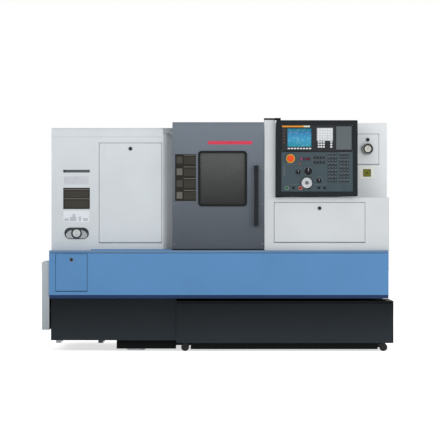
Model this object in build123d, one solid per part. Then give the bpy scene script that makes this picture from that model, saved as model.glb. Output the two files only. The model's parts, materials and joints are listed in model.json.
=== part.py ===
"""CNC turning lathe with a slant bed and a full enclosure. Millimetres, X right, Y to the back, Z up.
The origin is on the floor, below the middle of the machine."""

import math
import os

from build123d import *

# Heights above the floor
bed_clearance = 14.0
skirt_bottom = 81.0
band_bottom = 397.0
band_height = 355.0
band_top = band_bottom + band_height
spindle_rise = 308.0
spindle_z = band_top + spindle_rise
roof_rise = 582.0
roof_height = spindle_z + roof_rise
shelf_drop = 485.0
shelf_height = roof_height - shelf_drop
door_top = roof_height + 82.0
end_roof_height = roof_height + 84.0
column_top = roof_height + 98.0

# Spindle line, from the door's edge to the left
headstock_setback = 29.0
headstock_length = 430.0
pulley_gap = 12.0
pulley_width = 80.0
motor_gap = 38.0
motor_length = 310.0
motor_air = 16.0
drive_length = headstock_setback + headstock_length + pulley_gap + pulley_width + motor_gap + motor_length

# Stations along X, with the middle of the machine at zero
unit_reach = 67.0
bevel_width = 72.0
left_cabinet_width = drive_length + motor_air - bevel_width
door_width = 690.0
door_air = 3.0
column_width = 83.0
panel_air = 6.0
panel_width = 612.0
end_width = 239.0
tank_reach = 31.0
front_width = left_cabinet_width + bevel_width + door_width + door_air + column_width + panel_air
machine_width = unit_reach + front_width + panel_width + end_width + tank_reach
cabinet_left = -machine_width / 2 + unit_reach
bevel_start = cabinet_left + left_cabinet_width
door_left = bevel_start + bevel_width
door_right = door_left + door_width
column_left = door_right + door_air
column_right = column_left + column_width
panel_left = column_right + panel_air
panel_right = panel_left + panel_width
cover_right = panel_right + end_width
band_margin = 11.0

# Stations along Y, from the front
knob_reach = 45.0
band_step = 10.0
column_step = 50.0
door_step = 7.0
door_depth = 42.0
door_setback = 15.0
cabinet_setback = knob_reach - band_step + column_step - door_step + door_depth + door_setback
spindle_setback = 365.0
bed_reach = 600.0
rear_air = 150.0
unit_depth = 350.0
machine_depth = cabinet_setback + spindle_setback + bed_reach + rear_air + unit_depth
panel_front = -machine_depth / 2 + knob_reach
band_front = panel_front - band_step
column_front = band_front + column_step
door_front = column_front - door_step
door_back = door_front + door_depth
cabinet_front = door_back + door_setback
spindle_y = cabinet_front + spindle_setback
bed_back = spindle_y + bed_reach
rear_wall = bed_back + rear_air
end_cabinet_front = panel_front + 250.0
panel_depth = 130.0

# Sheet metal
sheet = 4.0
door_travel = 600.0

# Slant bed, square to the cutting axis
bed_slant = 45.0
bed_swing = 300.0
turret_offset = 360.0
running_gap = 0.05


def block(x0, x1, y0, y1, z0, z1):
    """A box between two corners."""
    return Pos((x0 + x1) / 2, (y0 + y1) / 2, (z0 + z1) / 2) * Box(x1 - x0, y1 - y0, z1 - z0)


def rod_x(x0, x1, y, z, radius):
    """A cylinder along X."""
    return Pos((x0 + x1) / 2, y, z) * Rot(0, 90, 0) * Cylinder(radius, x1 - x0)


def rod_y(y0, y1, x, z, radius):
    """A cylinder along Y."""
    return Pos(x, (y0 + y1) / 2, z) * Rot(90, 0, 0) * Cylinder(radius, y1 - y0)


def rod_z(z0, z1, x, y, radius):
    """A cylinder along Z."""
    return Pos(x, y, (z0 + z1) / 2) * Cylinder(radius, z1 - z0)


def prism_x(points, x0, x1):
    """A section of (y, z) points, drawn out along X."""
    return extrude(Plane.YZ.offset(x0) * Polygon(*points, align=None), x1 - x0, dir=(1, 0, 0))


def prism_y(points, y0, y1):
    """A section of (x, z) points, drawn out along Y."""
    plane = Plane(origin=(0, y1, 0), x_dir=(1, 0, 0), z_dir=(0, -1, 0))
    return extrude(plane * Polygon(*points, align=None), y1 - y0, dir=(0, -1, 0))


def prism_z(points, z0, z1):
    """A section of (x, y) points, drawn out along Z."""
    return extrude(Plane.XY.offset(z0) * Polygon(*points, align=None), z1 - z0, dir=(0, 0, 1))


def folded(points, thickness=sheet):
    """The closed section of a folded sheet: its line, and the same line mitred to the left of it."""
    inner = []
    for i, point in enumerate(points):
        before = unit(points[i - 1], point) if i else unit(point, points[1])
        after = unit(point, points[i + 1]) if i < len(points) - 1 else before
        normal = (-(before[1] + after[1]), before[0] + after[0])
        share = thickness / (1 + before[0] * after[0] + before[1] * after[1])
        inner.append((point[0] + normal[0] * share, point[1] + normal[1] * share))
    return points + inner[::-1]


def unit(start, end):
    """The direction from one point to another."""
    length = math.dist(start, end)
    return ((end[0] - start[0]) / length, (end[1] - start[1]) / length)


def slot_y(x, z, width, height, y0, y1):
    """A plate with round ends, lying along X and drawn out along Y."""
    plane = Plane(origin=(x, y1, z), x_dir=(1, 0, 0), z_dir=(0, -1, 0))
    return extrude(plane * SlotOverall(width, height), y1 - y0)


def rounded_y(x0, x1, z0, z1, radius, y0, y1):
    """A plate with rounded corners, drawn out along Y."""
    plane = Plane(origin=((x0 + x1) / 2, y1, (z0 + z1) / 2), x_dir=(1, 0, 0), z_dir=(0, -1, 0))
    return extrude(plane * RectangleRounded(x1 - x0, z1 - z0, radius), y1 - y0)


def slope(along, above):
    """The (y, z) place at a distance up the slanted bed and at a height square to its face."""
    angle = math.radians(bed_slant)
    rise = above - bed_swing
    y = spindle_y + along * math.cos(angle) - rise * math.sin(angle)
    z = spindle_z + along * math.sin(angle) + rise * math.cos(angle)
    return (y, z)


def slope_block(x0, x1, along0, along1, above0, above1):
    """A box that lies along the slanted bed."""
    corners = [(along0, above0), (along1, above0), (along1, above1), (along0, above1)]
    return prism_x([slope(*corner) for corner in corners], x0, x1)


def slope_rod(x, along0, along1, above, radius):
    """A cylinder that runs up the slanted bed."""
    y0, z0 = slope(along0, above)
    plane = Plane(origin=(x, y0, z0), x_dir=(1, 0, 0), z_dir=(0, *unit((y0, z0), slope(along1, above))))
    return extrude(plane * Circle(radius), along1 - along0)


parts = {}

# Bed casting: a slanted box section on a flat base, with two pairs of ways along X
bed_left = door_left - 422.0
bed_right = cover_right - 115.0
tank_back = spindle_y + 150.0
bed_front = tank_back + 20.0
bed_wall = 40.0
pedestal_right = door_left - 4.0
way_height = 35.0
way_width = 60.0
tail_ways = (-225.0, -130.0)
carriage_ways = (-40.0, 330.0)
way_start = door_left + 41.0
way_end = bed_right - 97.0
bed_lower = -235.0
bed_upper = 420.0
z_screw_along = 180.0
z_screw_above = 72.0
z_screw_radius = 20.0
bearing_length = 40.0


def make_bed():
    lower = slope(bed_lower, 0)
    upper = slope(bed_upper, 0)
    section = [
        (bed_front, bed_clearance),
        (bed_back, bed_clearance),
        (bed_back, upper[1]),
        upper,
        lower,
        (lower[0], lower[1] - bed_wall),
        (bed_front, lower[1] - bed_wall - 80),
    ]
    bed = prism_x(section, bed_left, bed_right)
    cells = 4
    pitch = (bed_right - bed_left - bed_wall) / cells
    core_front = bed_front + bed_wall
    core_back = bed_back - bed_wall
    core_top = upper[1] - bed_wall
    skin = bed_wall * math.sqrt(2)
    lift = lower[1] - lower[0] - skin
    core = [(core_front, 0), (core_back, 0), (core_back, core_top), (core_top - lift, core_top),
            (core_front, core_front + lift)]
    for i in range(cells):
        start = bed_left + bed_wall + i * pitch
        bed -= prism_x(core, start, start + pitch - bed_wall)
    pedestal = block(bed_left, pedestal_right, cabinet_front + 40, bed_front, bed_clearance, 430)
    pedestal -= block(
        bed_left + bed_wall, pedestal_right - bed_wall, cabinet_front + 80, bed_front, 0, 430 - bed_wall
    )
    bed += pedestal
    bed += block(motor_left + 40, bed_left, motor_y - 150, motor_y + 150, motor_z - motor_radius - 40,
                 motor_z - motor_radius)
    for along in (*tail_ways, *carriage_ways):
        bed += slope_block(way_start, way_end, along, along + way_width, 0, way_height)
    y, z = slope(z_screw_along, z_screw_above)
    for x in (way_start, way_end - bearing_length):
        bearing = slope_block(x, x + bearing_length, z_screw_along - 45, z_screw_along + 45, 0, 105)
        bed += bearing - rod_x(x, x + bearing_length, y, z, z_screw_radius + running_gap)
    return bed


# Spindle line: headstock, spindle, chuck, belt drive
headstock_right = door_left - headstock_setback
headstock_left = headstock_right - headstock_length
nose_radius = 85.0
spindle_bore = 33.0
spindle_pulley_radius = 110.0
pulley_right = headstock_left - pulley_gap
pulley_left = pulley_right - pulley_width
cylinder_length = 190.0
cylinder_radius = 95.0
chuck_left = headstock_right + 25.0
chuck_length = 100.0
chuck_right = chuck_left + chuck_length
chuck_radius = 127.0
jaw_width = 40.0
jaw_height = 60.0
jaw_reach = 50.0
jaw_inner = 42.0
motor_left = pulley_left - motor_gap - motor_length
motor_radius = 135.0
motor_y = spindle_y
belt_centres = 730.0
motor_z = spindle_z - belt_centres
motor_pulley_radius = 80.0
motor_shaft_radius = 24.0
belt_thickness = 10.0
fit_gap = 0.3


def make_headstock():
    boss = rod_x(headstock_left, headstock_right, spindle_y, spindle_z, 150)
    foot_points = [slope(-150, bed_swing), slope(-190, 0.0), slope(300, 0.0), slope(150, bed_swing)]
    body = boss + prism_x(foot_points, headstock_left + 30, headstock_right - 20)
    for i in range(5):
        start = headstock_left + 60 + i * 72
        body += rod_x(start, start + 16, spindle_y, spindle_z, 165)
    return body - rod_x(headstock_left, headstock_right, spindle_y, spindle_z, nose_radius + running_gap)


def make_spindle():
    body = rod_x(headstock_left - 4, headstock_right + 5, spindle_y, spindle_z, nose_radius)
    body += rod_x(headstock_right + 5, chuck_left, spindle_y, spindle_z, nose_radius + 15)
    body += rod_x(pulley_left, headstock_left - 4, spindle_y, spindle_z, 55)
    rim = rod_x(pulley_left, pulley_right, spindle_y, spindle_z, spindle_pulley_radius)
    groove_pitch = pulley_width / 4
    for i in range(3):
        x = pulley_left + groove_pitch * (i + 1)
        ring = rod_x(x - 4, x + 4, spindle_y, spindle_z, spindle_pulley_radius)
        rim -= ring - rod_x(x - 4, x + 4, spindle_y, spindle_z, spindle_pulley_radius - 6)
    body += rim
    body += rod_x(pulley_left - cylinder_length, pulley_left, spindle_y, spindle_z, cylinder_radius)
    body += rod_x(pulley_left - cylinder_length - 40, pulley_left - cylinder_length, spindle_y, spindle_z, 60)
    bore = rod_x(pulley_left - cylinder_length - 40, chuck_left, spindle_y, spindle_z, spindle_bore)
    return body - bore


def make_chuck():
    body = rod_x(chuck_left, chuck_right, spindle_y, spindle_z, chuck_radius)
    body = chamfer(body.edges().filter_by(GeomType.CIRCLE).group_by(Axis.X)[-1], 6)
    body -= rod_x(chuck_left, chuck_right, spindle_y, spindle_z, spindle_bore)
    for i in range(3):
        slot = block(chuck_right - 25, chuck_right, -jaw_width / 2 - running_gap, jaw_width / 2 + running_gap,
                     jaw_inner - 4, chuck_radius + 10)
        body -= Pos(0, spindle_y, spindle_z) * Rot(120 * i, 0, 0) * slot
    return body


def make_jaw(index):
    base = block(chuck_right - 25 + running_gap, chuck_right + 4, -jaw_width / 2, jaw_width / 2,
                 jaw_inner, jaw_inner + jaw_height)
    steps = [
        (chuck_right + 4, jaw_inner), (chuck_right + jaw_reach, jaw_inner),
        (chuck_right + jaw_reach, jaw_inner + 22), (chuck_right + 32, jaw_inner + 22),
        (chuck_right + 32, jaw_inner + 42), (chuck_right + 18, jaw_inner + 42),
        (chuck_right + 18, jaw_inner + jaw_height), (chuck_right + 4, jaw_inner + jaw_height),
    ]
    top = prism_y(steps, -jaw_width / 2 + 2, jaw_width / 2 - 2)
    return Pos(0, spindle_y, spindle_z) * Rot(120 * index, 0, 0) * (base + top)


def make_motor():
    right = motor_left + motor_length
    body = rod_x(motor_left, right, motor_y, motor_z, motor_radius)
    for angle in range(-120, 121, 40):
        fin = block(motor_left + 30, right - 30, -4, 4, motor_radius - 5, motor_radius + 10)
        body += Pos(0, motor_y, motor_z) * Rot(angle, 0, 0) * fin
    body += block(motor_left + 50, right - 40, motor_y - 110, motor_y + 110, motor_z - motor_radius,
                  motor_z - motor_radius + 60)
    body -= rod_x(right - 50, right, motor_y, motor_z, motor_shaft_radius + running_gap)
    return body


def make_motor_pulley():
    body = rod_x(pulley_left, pulley_right, motor_y, motor_z, motor_pulley_radius)
    for i in range(3):
        x = pulley_left + pulley_width / 4 * (i + 1)
        ring = rod_x(x - 4, x + 4, motor_y, motor_z, motor_pulley_radius)
        body -= ring - rod_x(x - 4, x + 4, motor_y, motor_z, motor_pulley_radius - 6)
    return body + rod_x(motor_left + motor_length - 45, pulley_left, motor_y, motor_z, motor_shaft_radius)


def belt_outline(grow):
    """The outline round both pulleys: two arcs and the two tangents between them, as (y, z)."""
    large = spindle_pulley_radius + grow
    small = motor_pulley_radius + grow
    lean = math.asin((large - small) / (spindle_z - motor_z))
    points = []
    steps = 16
    for i in range(steps + 1):
        angle = -lean + (math.pi + 2 * lean) * i / steps
        points.append((spindle_y + large * math.cos(angle), spindle_z + large * math.sin(angle)))
    for i in range(steps + 1):
        angle = math.pi + lean + (math.pi - 2 * lean) * i / steps
        points.append((motor_y + small * math.cos(angle), motor_z + small * math.sin(angle)))
    return points


def make_belt():
    left = pulley_left + 5
    right = pulley_right - 5
    outer = prism_x(belt_outline(belt_thickness + 1), left, right)
    return outer - prism_x(belt_outline(1 + fit_gap), left, right)


parts["bed_casting"] = make_bed()
parts["headstock"] = make_headstock()
parts["spindle"] = make_spindle()
parts["chuck_body"] = make_chuck()
for jaw_index in range(3):
    parts[f"chuck_jaw_{jaw_index + 1}"] = make_jaw(jaw_index)
parts["spindle_motor"] = make_motor()
parts["motor_pulley"] = make_motor_pulley()
parts["drive_belt"] = make_belt()

# Carriage: saddle on the bed, cross slide on the saddle, turret on the cross slide
carriage_travel = 430.0
cross_travel = 140.0
turret_left = door_left + 671.0
turret_width = 80.0
turret_right = turret_left + turret_width
turret_radius = 176.0
stations = 12
tool_overhang = 45.0
turret_shaft_radius = 60.0
saddle_left = turret_right + 2.0
saddle_right = saddle_left + 320.0
saddle_top = 110.0
slide_left = turret_right + 12.0
slide_right = saddle_right - 20.0
slide_top = 190.0
slide_half = 150.0
x_screw_radius = 14.0
x_screw_above = 150.0
x_screw_x = (slide_left + slide_right) / 2
x_screw_low = -15.0
x_screw_high = 560.0
servo_side = 110.0
servo_length = 130.0
way_top = way_height + running_gap


def make_saddle():
    low = carriage_ways[0] - 5
    high = x_screw_high
    body = slope_block(saddle_left, saddle_right, low, high, way_top, saddle_top)
    bearing_low = slope_block(x_screw_x - 40, x_screw_x + 40, low, x_screw_low, saddle_top, slide_top - 15)
    bearing_high = slope_block(x_screw_x - 60, x_screw_x + 60, x_screw_high - 35, x_screw_high,
                               saddle_top, saddle_top + servo_side)
    body += bearing_low + bearing_high
    body -= slope_rod(x_screw_x, low, high, x_screw_above, x_screw_radius + running_gap)
    for x in (saddle_left + 30, saddle_right - 90):
        body += slope_block(x, x + 60, x_screw_low, x_screw_high - 60, saddle_top, saddle_top + 20)
    y, z = slope(z_screw_along, z_screw_above)
    return body - rod_x(saddle_left, saddle_right, y, z, z_screw_radius + running_gap)


def make_cross_slide():
    low = turret_offset - slide_half
    high = turret_offset + slide_half - 20
    body = slope_block(slide_left, slide_right, low, high, saddle_top + running_gap, slide_top)
    for x in (saddle_left + 30, saddle_right - 90):
        body -= slope_block(x - running_gap, x + 60 + running_gap, low, high, saddle_top,
                            saddle_top + 20 + running_gap)
    return body - slope_rod(x_screw_x, low, high, x_screw_above, x_screw_radius + running_gap)


def make_turret_housing():
    y, z = slope(turret_offset, bed_swing)
    body = rod_x(slide_left, slide_right, y, z, 110)
    body += slope_block(slide_left, slide_right, turret_offset - 110, turret_offset + 110, slide_top, bed_swing)
    body += rod_x(slide_right, slide_right + 70, y, z, 75)
    return body - rod_x(slide_left, slide_left + 90, y, z, turret_shaft_radius + running_gap)


def make_turret_disc():
    y, z = slope(turret_offset, bed_swing)
    plane = Plane(origin=(turret_left, 0, 0), x_dir=(0, 1, 0), z_dir=(1, 0, 0))
    body = extrude(plane * RegularPolygon(turret_radius, stations), turret_width)
    body = chamfer(body.faces().sort_by(Axis.X)[0].edges(), 8)
    body += rod_x(turret_right, slide_left + 80, 0, 0, turret_shaft_radius)
    body += rod_x(turret_left - 12, turret_left, 0, 0, 70)
    flat = turret_radius * math.cos(math.pi / stations)
    for i in range(stations):
        turn = Rot(360 / stations * (i + 0.5), 0, 0)
        if i % 2:
            holder = block(turret_left + 8, turret_right - 12, -28, 28, flat - 20, flat + 22)
            shank = block(turret_left - tool_overhang, turret_left + 30, -10, 10, flat - 8, flat + 12)
            body += turn * (holder + shank)
        else:
            sleeve = rod_x(turret_left - 30, turret_left + 20, 0, flat - 38, 27)
            bar = rod_x(turret_left - tool_overhang - 35, turret_left - 30, 0, flat - 38, 12)
            body += turn * (sleeve + bar)
    return Pos(0, y, z) * body


def make_z_screw():
    y, z = slope(z_screw_along, z_screw_above)
    body = rod_x(way_start, way_end + 40, y, z, z_screw_radius)
    return body


def make_x_screw():
    return slope_rod(x_screw_x, carriage_ways[0] - 5, x_screw_high + 40, x_screw_above, x_screw_radius)


def make_z_servo():
    y, z = slope(z_screw_along, z_screw_above)
    half = servo_side / 2
    start = way_end + running_gap
    low = z_screw_along - half
    body = slope_block(start, start + servo_length, low, low + servo_side, z_screw_above - half + 5,
                       z_screw_above + half)
    body += rod_x(start + servo_length, start + servo_length + 40, y, z, 42)
    return body - rod_x(start, way_end + 41, y, z, z_screw_radius + running_gap)


def make_x_servo():
    half = servo_side / 2
    top = x_screw_high + servo_length
    body = slope_block(x_screw_x - half, x_screw_x + half, x_screw_high, top,
                       x_screw_above - 38, x_screw_above + half + 17)
    return body - slope_rod(x_screw_x, x_screw_high, x_screw_high + 41, x_screw_above,
                            x_screw_radius + running_gap)


# Tailstock
tail_left = way_end - 300.0
tail_length = 220.0
tail_travel = 300.0
quill_radius = 45.0
quill_out = 60.0
quill_travel = 80.0
centre_length = 50.0


def make_tailstock():
    right = tail_left + tail_length
    foot = slope_block(tail_left, right, tail_ways[0] - 5, tail_ways[1] + way_width + 5, way_top, way_top + 55)
    neck = [slope(-210, way_top + 40), slope(-75, way_top + 40), slope(-62, slide_top), slope(60, bed_swing - 40),
            slope(40, bed_swing + 50), slope(-60, bed_swing + 40)]
    body = foot + prism_x(neck, tail_left + 15, right - 15)
    body += rod_x(tail_left, right, spindle_y, spindle_z, 78)
    for x in (tail_left, right - 20):
        body += rod_x(x, x + 20, spindle_y, spindle_z, 84)
    return body - rod_x(tail_left, right, spindle_y, spindle_z, quill_radius + running_gap)


def make_quill():
    tip = tail_left - quill_out
    body = rod_x(tip, tail_left + tail_length - 10, spindle_y, spindle_z, quill_radius)
    body = chamfer(body.edges().filter_by(GeomType.CIRCLE).group_by(Axis.X)[0], 4)
    cone = Pos(tip - centre_length / 2, spindle_y, spindle_z) * Rot(0, 90, 0) * Cone(1, 24, centre_length)
    return body + cone


parts["saddle"] = make_saddle()
parts["cross_slide"] = make_cross_slide()
parts["turret_housing"] = make_turret_housing()
parts["turret_disc"] = make_turret_disc()
parts["z_ball_screw"] = make_z_screw()
parts["x_ball_screw"] = make_x_screw()
parts["z_servo_motor"] = make_z_servo()
parts["x_servo_motor"] = make_x_servo()
parts["tailstock_body"] = make_tailstock()
parts["tailstock_quill"] = make_quill()

# Covers that turn down on two pins at their foot, each with a quarter-turn lock
service_left = cabinet_left + 362.0
service_right = bevel_start - 11.0
service_bottom = band_top + 62.0
service_top = roof_height - 75.0
flap_left = column_right - 8.0
flap_right = cover_right - 183.0
flap_bottom = band_top + 65.0
flap_top = shelf_height - 40.0
hatch_left = cabinet_left + 40.0
hatch_right = hatch_left + 234.0
hatch_bottom = band_bottom + 53.0
hatch_top = band_top - 22.0
gauge_left = panel_right + 7.0
gauge_right = gauge_left + 167.0
gauge_bottom = roof_height - 232.0
gauge_top = roof_height - 1.0
cover_gap = 3.0
cover_lip = 12.0
cover_depth = 18.0
cover_proud = 3.0
pin_rise = 10.5
pin_radius = 3.0
pin_reach = 8.0
lock_radius = 14.0
lock_drop = 42.0
lock_proud = 5.0
catch_reach = 12.0
catch_gap = 9.0
catch_thickness = 4.0
catch_width = 16.0


def cover(left, right, bottom, top, front):
    """A pan that fills its opening, with a pivot stud at each lower corner and a hole for its lock."""
    face = front - cover_proud
    pan = rounded_y(left, right, bottom, top, 5, face, face + cover_depth)
    pan -= block(left + sheet, right - sheet, face + sheet, face + cover_depth, bottom + sheet + pin_rise * 2,
                 top - sheet)
    pan += rod_y(face + sheet, face + cover_depth, (left + right) / 2, top - lock_drop, lock_radius + 6)
    pan -= rod_y(face, face + cover_depth, (left + right) / 2, top - lock_drop, lock_radius - 5 + running_gap)
    pivot_y = face + pin_rise
    pivot_z = bottom + pin_rise
    foot = block(left, right, face, pivot_y, bottom, pivot_z) - rod_x(left, right, pivot_y, pivot_z, pin_rise)
    pan -= foot
    pan += rod_x(left - pin_reach, right + pin_reach, pivot_y, pivot_z, pin_radius)
    return pan


def cover_lock(left, right, top, front):
    """A round lock with a screwdriver slot, and its catch behind the sheet."""
    face = front - cover_proud
    x = (left + right) / 2
    z = top - lock_drop
    body = rod_y(face - lock_proud, face - running_gap, x, z, lock_radius)
    catch_front = face + cover_depth + catch_gap
    catch_back = catch_front + catch_thickness
    body += rod_y(face - running_gap, catch_back + 1, x, z, lock_radius - 5)
    body += block(x - 12, x + lock_drop + catch_reach, catch_front, catch_back, z - catch_width / 2,
                  z + catch_width / 2)
    return body - block(x - 9, x + 9, face - lock_proud, face - lock_proud + 2, z - 1.5, z + 1.5)


def cover_hole(left, right, bottom, top, front, depth):
    """The opening that a cover fills, through the sheet in front of it."""
    return block(left - cover_gap, right + cover_gap, front - 1, front + depth + 1, bottom - cover_gap,
                 top + cover_gap)


def cover_ears(left, right, bottom, front):
    """The two pierced ears behind the sheet that carry a cover's pivot studs."""
    y = front - cover_proud + pin_rise
    z = bottom + pin_rise
    ears = None
    for x0, x1 in ((left - cover_gap - sheet, left - cover_gap), (right + cover_gap, right + cover_gap + sheet)):
        ear = block(x0, x1, front, y + 14, z - 12, z + 12) - rod_x(x0, x1, y, z, pin_radius + running_gap)
        ears = ear if ears is None else ears + ear
    return ears


parts["service_cover"] = cover(service_left, service_right, service_bottom, service_top, cabinet_front)
parts["service_lock"] = cover_lock(service_left, service_right, service_top, cabinet_front)
parts["right_flap"] = cover(flap_left, flap_right, flap_bottom, flap_top, column_front)
parts["right_flap_lock"] = cover_lock(flap_left, flap_right, flap_top, column_front)
parts["band_door"] = cover(hatch_left, hatch_right, hatch_bottom, hatch_top, band_front)
parts["band_door_lock"] = cover_lock(hatch_left, hatch_right, hatch_top, band_front)
parts["gauge_door_lock"] = cover_lock(gauge_left, gauge_right, gauge_top, end_cabinet_front)

# Pressure gauge, on the gauge door
gauge_z = gauge_top - 112.0
gauge_radius = 40.0
gauge_depth = 32.0


def make_gauge_door():
    x = (gauge_left + gauge_right) / 2
    face = end_cabinet_front - cover_proud
    body = cover(gauge_left, gauge_right, gauge_bottom, gauge_top, end_cabinet_front)
    body += rod_y(face - gauge_depth, face, x, gauge_z, gauge_radius)
    return body - rod_y(face - gauge_depth, face - gauge_depth + 5, x, gauge_z, gauge_radius - 10)


parts["gauge_door"] = make_gauge_door()

# Enclosure sheets
bevel_back = 60.0
band_fold = 21.0
band_hem = 26.0
rail_height = 29.0
rail_depth = 40.0
bead_width = 10.0
bead_height = 12.0
guide_y = door_front + door_depth / 2
guide_width = 6.0
guide_height = 14.0
frame_front = cabinet_front + 5.0
opening_left = door_left + 41.0
opening_right = door_right - 39.0
opening_bottom = band_top + 48.0
opening_top = roof_height - 42.0
chamber_left = door_left - 20.0
chamber_right = way_end + 4.0
switch_x = cabinet_left + 190.0
switch_z = band_top + 134.0
switch_stem = 8.0


def make_left_cabinet():
    plan = [
        (cabinet_left, rear_wall), (cabinet_left, cabinet_front), (bevel_start, cabinet_front),
        (door_left, cabinet_front + bevel_back),
    ]
    body = prism_z(folded(plan), band_top, roof_height)
    lid = [(cabinet_left, cabinet_front), (bevel_start, cabinet_front), (door_left, cabinet_front + bevel_back),
           (door_left, rear_wall), (cabinet_left, rear_wall)]
    body += prism_z(lid, roof_height - sheet, roof_height)
    body -= cover_hole(service_left, service_right, service_bottom, service_top, cabinet_front, sheet)
    body += cover_ears(service_left, service_right, service_bottom, cabinet_front)
    return body - rod_y(cabinet_front, cabinet_front + sheet, switch_x, switch_z, switch_stem + running_gap)


def make_top_rail():
    back = cabinet_front + rail_depth
    section = [
        (cabinet_front, roof_height), (cabinet_front, roof_height + rail_height),
        (back - bead_width - 5, roof_height + rail_height),
        (back - bead_width - 5, roof_height + rail_height + bead_height),
        (back - 5, roof_height + rail_height + bead_height), (back - 5, roof_height + rail_height),
        (back, roof_height + rail_height), (back, roof_height), (back - sheet, roof_height),
        (back - sheet, roof_height + rail_height - sheet),
        (cabinet_front + sheet, roof_height + rail_height - sheet), (cabinet_front + sheet, roof_height),
    ]
    return prism_x(section, cabinet_left, door_right)


def make_base_cover():
    lap = band_front + 18
    section = [
        (lap, band_top), (band_front + 14, band_top), (band_front, band_top - band_fold),
        (band_front, band_bottom + band_hem), (band_front + 16, band_bottom), (band_front + 40, band_bottom),
    ]
    left = cabinet_left - band_margin
    right = cover_right - 7.0
    body = prism_x(folded(section), left, right)
    for x in (left, right - sheet):
        side = [(band_front + 14, band_top), (rear_wall, band_top), (rear_wall, band_bottom),
                (band_front + 16, band_bottom), (band_front, band_bottom + band_hem),
                (band_front, band_top - band_fold)]
        body += prism_x(side, x, x + sheet)
    body -= cover_hole(hatch_left, hatch_right, hatch_bottom, hatch_top, band_front, sheet)
    body += cover_ears(hatch_left, hatch_right, hatch_bottom, band_front)
    ledge = block(left + sheet + fit_gap, right - sheet - fit_gap, lap + fit_gap, cabinet_front,
                  band_top - sheet, band_top)
    ledge += block(door_left - door_travel - 15, door_right, guide_y - guide_width / 2,
                   guide_y + guide_width / 2, band_top, band_top + guide_height)
    return body + ledge


def make_left_skirt():
    front = band_front + 27
    plan = [(cabinet_left + 1, rear_wall), (cabinet_left + 1, front), (door_left + 29, front),
            (door_left + 29, front + 60)]
    return prism_z(folded(plan), skirt_bottom, band_bottom)


def make_right_cover():
    plan = [(column_left, end_cabinet_front), (column_left, column_front), (cover_right, column_front),
            (cover_right, rear_wall)]
    shelf_bottom = shelf_height - sheet
    body = prism_z(folded(plan), band_top, shelf_height)
    body -= block(column_left, cover_right, column_front, end_cabinet_front + fit_gap, shelf_bottom - fit_gap,
                  shelf_height)
    body -= cover_hole(flap_left, flap_right, flap_bottom, flap_top, column_front, sheet)
    body += cover_ears(flap_left, flap_right, flap_bottom, column_front)
    shelf = block(column_left, cover_right, column_front, end_cabinet_front, shelf_bottom, shelf_height)
    plan = [(column_left, end_cabinet_front), (column_left, column_front), (column_right, column_front),
            (column_right, end_cabinet_front)]
    post = prism_z(folded(plan), shelf_height + fit_gap, column_top)
    post += block(column_left, column_right, column_front, end_cabinet_front, column_top - sheet, column_top)
    return body + shelf + post


def make_end_cabinet():
    right = cover_right - 2.0
    plan = [(column_left, end_cabinet_front), (right, end_cabinet_front), (right, rear_wall)]
    body = prism_z(folded(plan), shelf_height, end_roof_height)
    body += block(column_left, right, end_cabinet_front, rear_wall, end_roof_height - sheet, end_roof_height)
    body += block(column_left, column_left + sheet, end_cabinet_front, rear_wall, roof_height, end_roof_height)
    body -= cover_hole(gauge_left, gauge_right, gauge_bottom, gauge_top, end_cabinet_front, sheet)
    return body + cover_ears(gauge_left, gauge_right, gauge_bottom, end_cabinet_front)


def make_rear_enclosure():
    body = block(cabinet_left, cover_right, rear_wall, rear_wall + sheet, band_bottom, roof_height)
    roof = block(door_left, column_left, cabinet_front + bevel_back, rear_wall + sheet, roof_height - sheet,
                 roof_height)
    body += roof
    upper = block(column_left, cover_right - 2, rear_wall, rear_wall + sheet, roof_height - sheet, end_roof_height)
    return body + upper


def make_liner():
    top = roof_height - sheet - fit_gap
    foot = opening_bottom - 40
    wall_front = frame_front + bevel_back
    inner_front = end_cabinet_front + 40
    jamb_right = door_right
    lower = slope(bed_lower - 20, fit_gap)
    upper = slope(bed_upper + 60, fit_gap)
    side = [(wall_front, foot), (lower[0], foot), slope(bed_lower + 60, fit_gap), upper, (upper[0], top),
            (wall_front, top)]
    body = prism_x(side, chamber_left, chamber_left + sheet)
    body -= rod_x(chamber_left, chamber_left + sheet, spindle_y, spindle_z, nose_radius + 25)
    end = block(chamber_right - sheet, chamber_right, inner_front, lower[0] - 30, foot, top)
    frame_left = door_left + 8
    frame = block(frame_left, jamb_right, frame_front, frame_front + sheet, band_top + fit_gap,
                  roof_height + rail_height - sheet)
    frame -= block(opening_left, opening_right, frame_front, frame_front + sheet, opening_bottom, opening_top)
    flange = block(frame_left, frame_left + sheet, frame_front, wall_front + sheet, band_top + fit_gap, top)
    flange += block(chamber_left, frame_left + sheet, wall_front, wall_front + sheet, foot, top)
    jamb = block(jamb_right - sheet, jamb_right, frame_front, inner_front, foot, top)
    inner = block(jamb_right - sheet, chamber_right, inner_front, inner_front + sheet, foot, top)
    chute = [(frame_front, foot), (frame_front + 230, foot - 130), (lower[0] - 30, foot - 130)]
    floor = prism_x(folded(chute), frame_left, jamb_right)
    end_chute = [(inner_front, foot), (inner_front + 80, foot - 130), (lower[0] - 30, foot - 130)]
    floor += prism_x(folded(end_chute), jamb_right - sheet, chamber_right)
    return body + frame + flange + jamb + inner + end + floor


parts["left_cabinet"] = make_left_cabinet()
parts["door_top_rail"] = make_top_rail()
parts["base_cover"] = make_base_cover()
parts["left_skirt"] = make_left_skirt()
parts["lower_right_cover"] = make_right_cover()
parts["upper_right_cabinet"] = make_end_cabinet()
parts["rear_enclosure"] = make_rear_enclosure()
parts["chamber_liner"] = make_liner()

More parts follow.
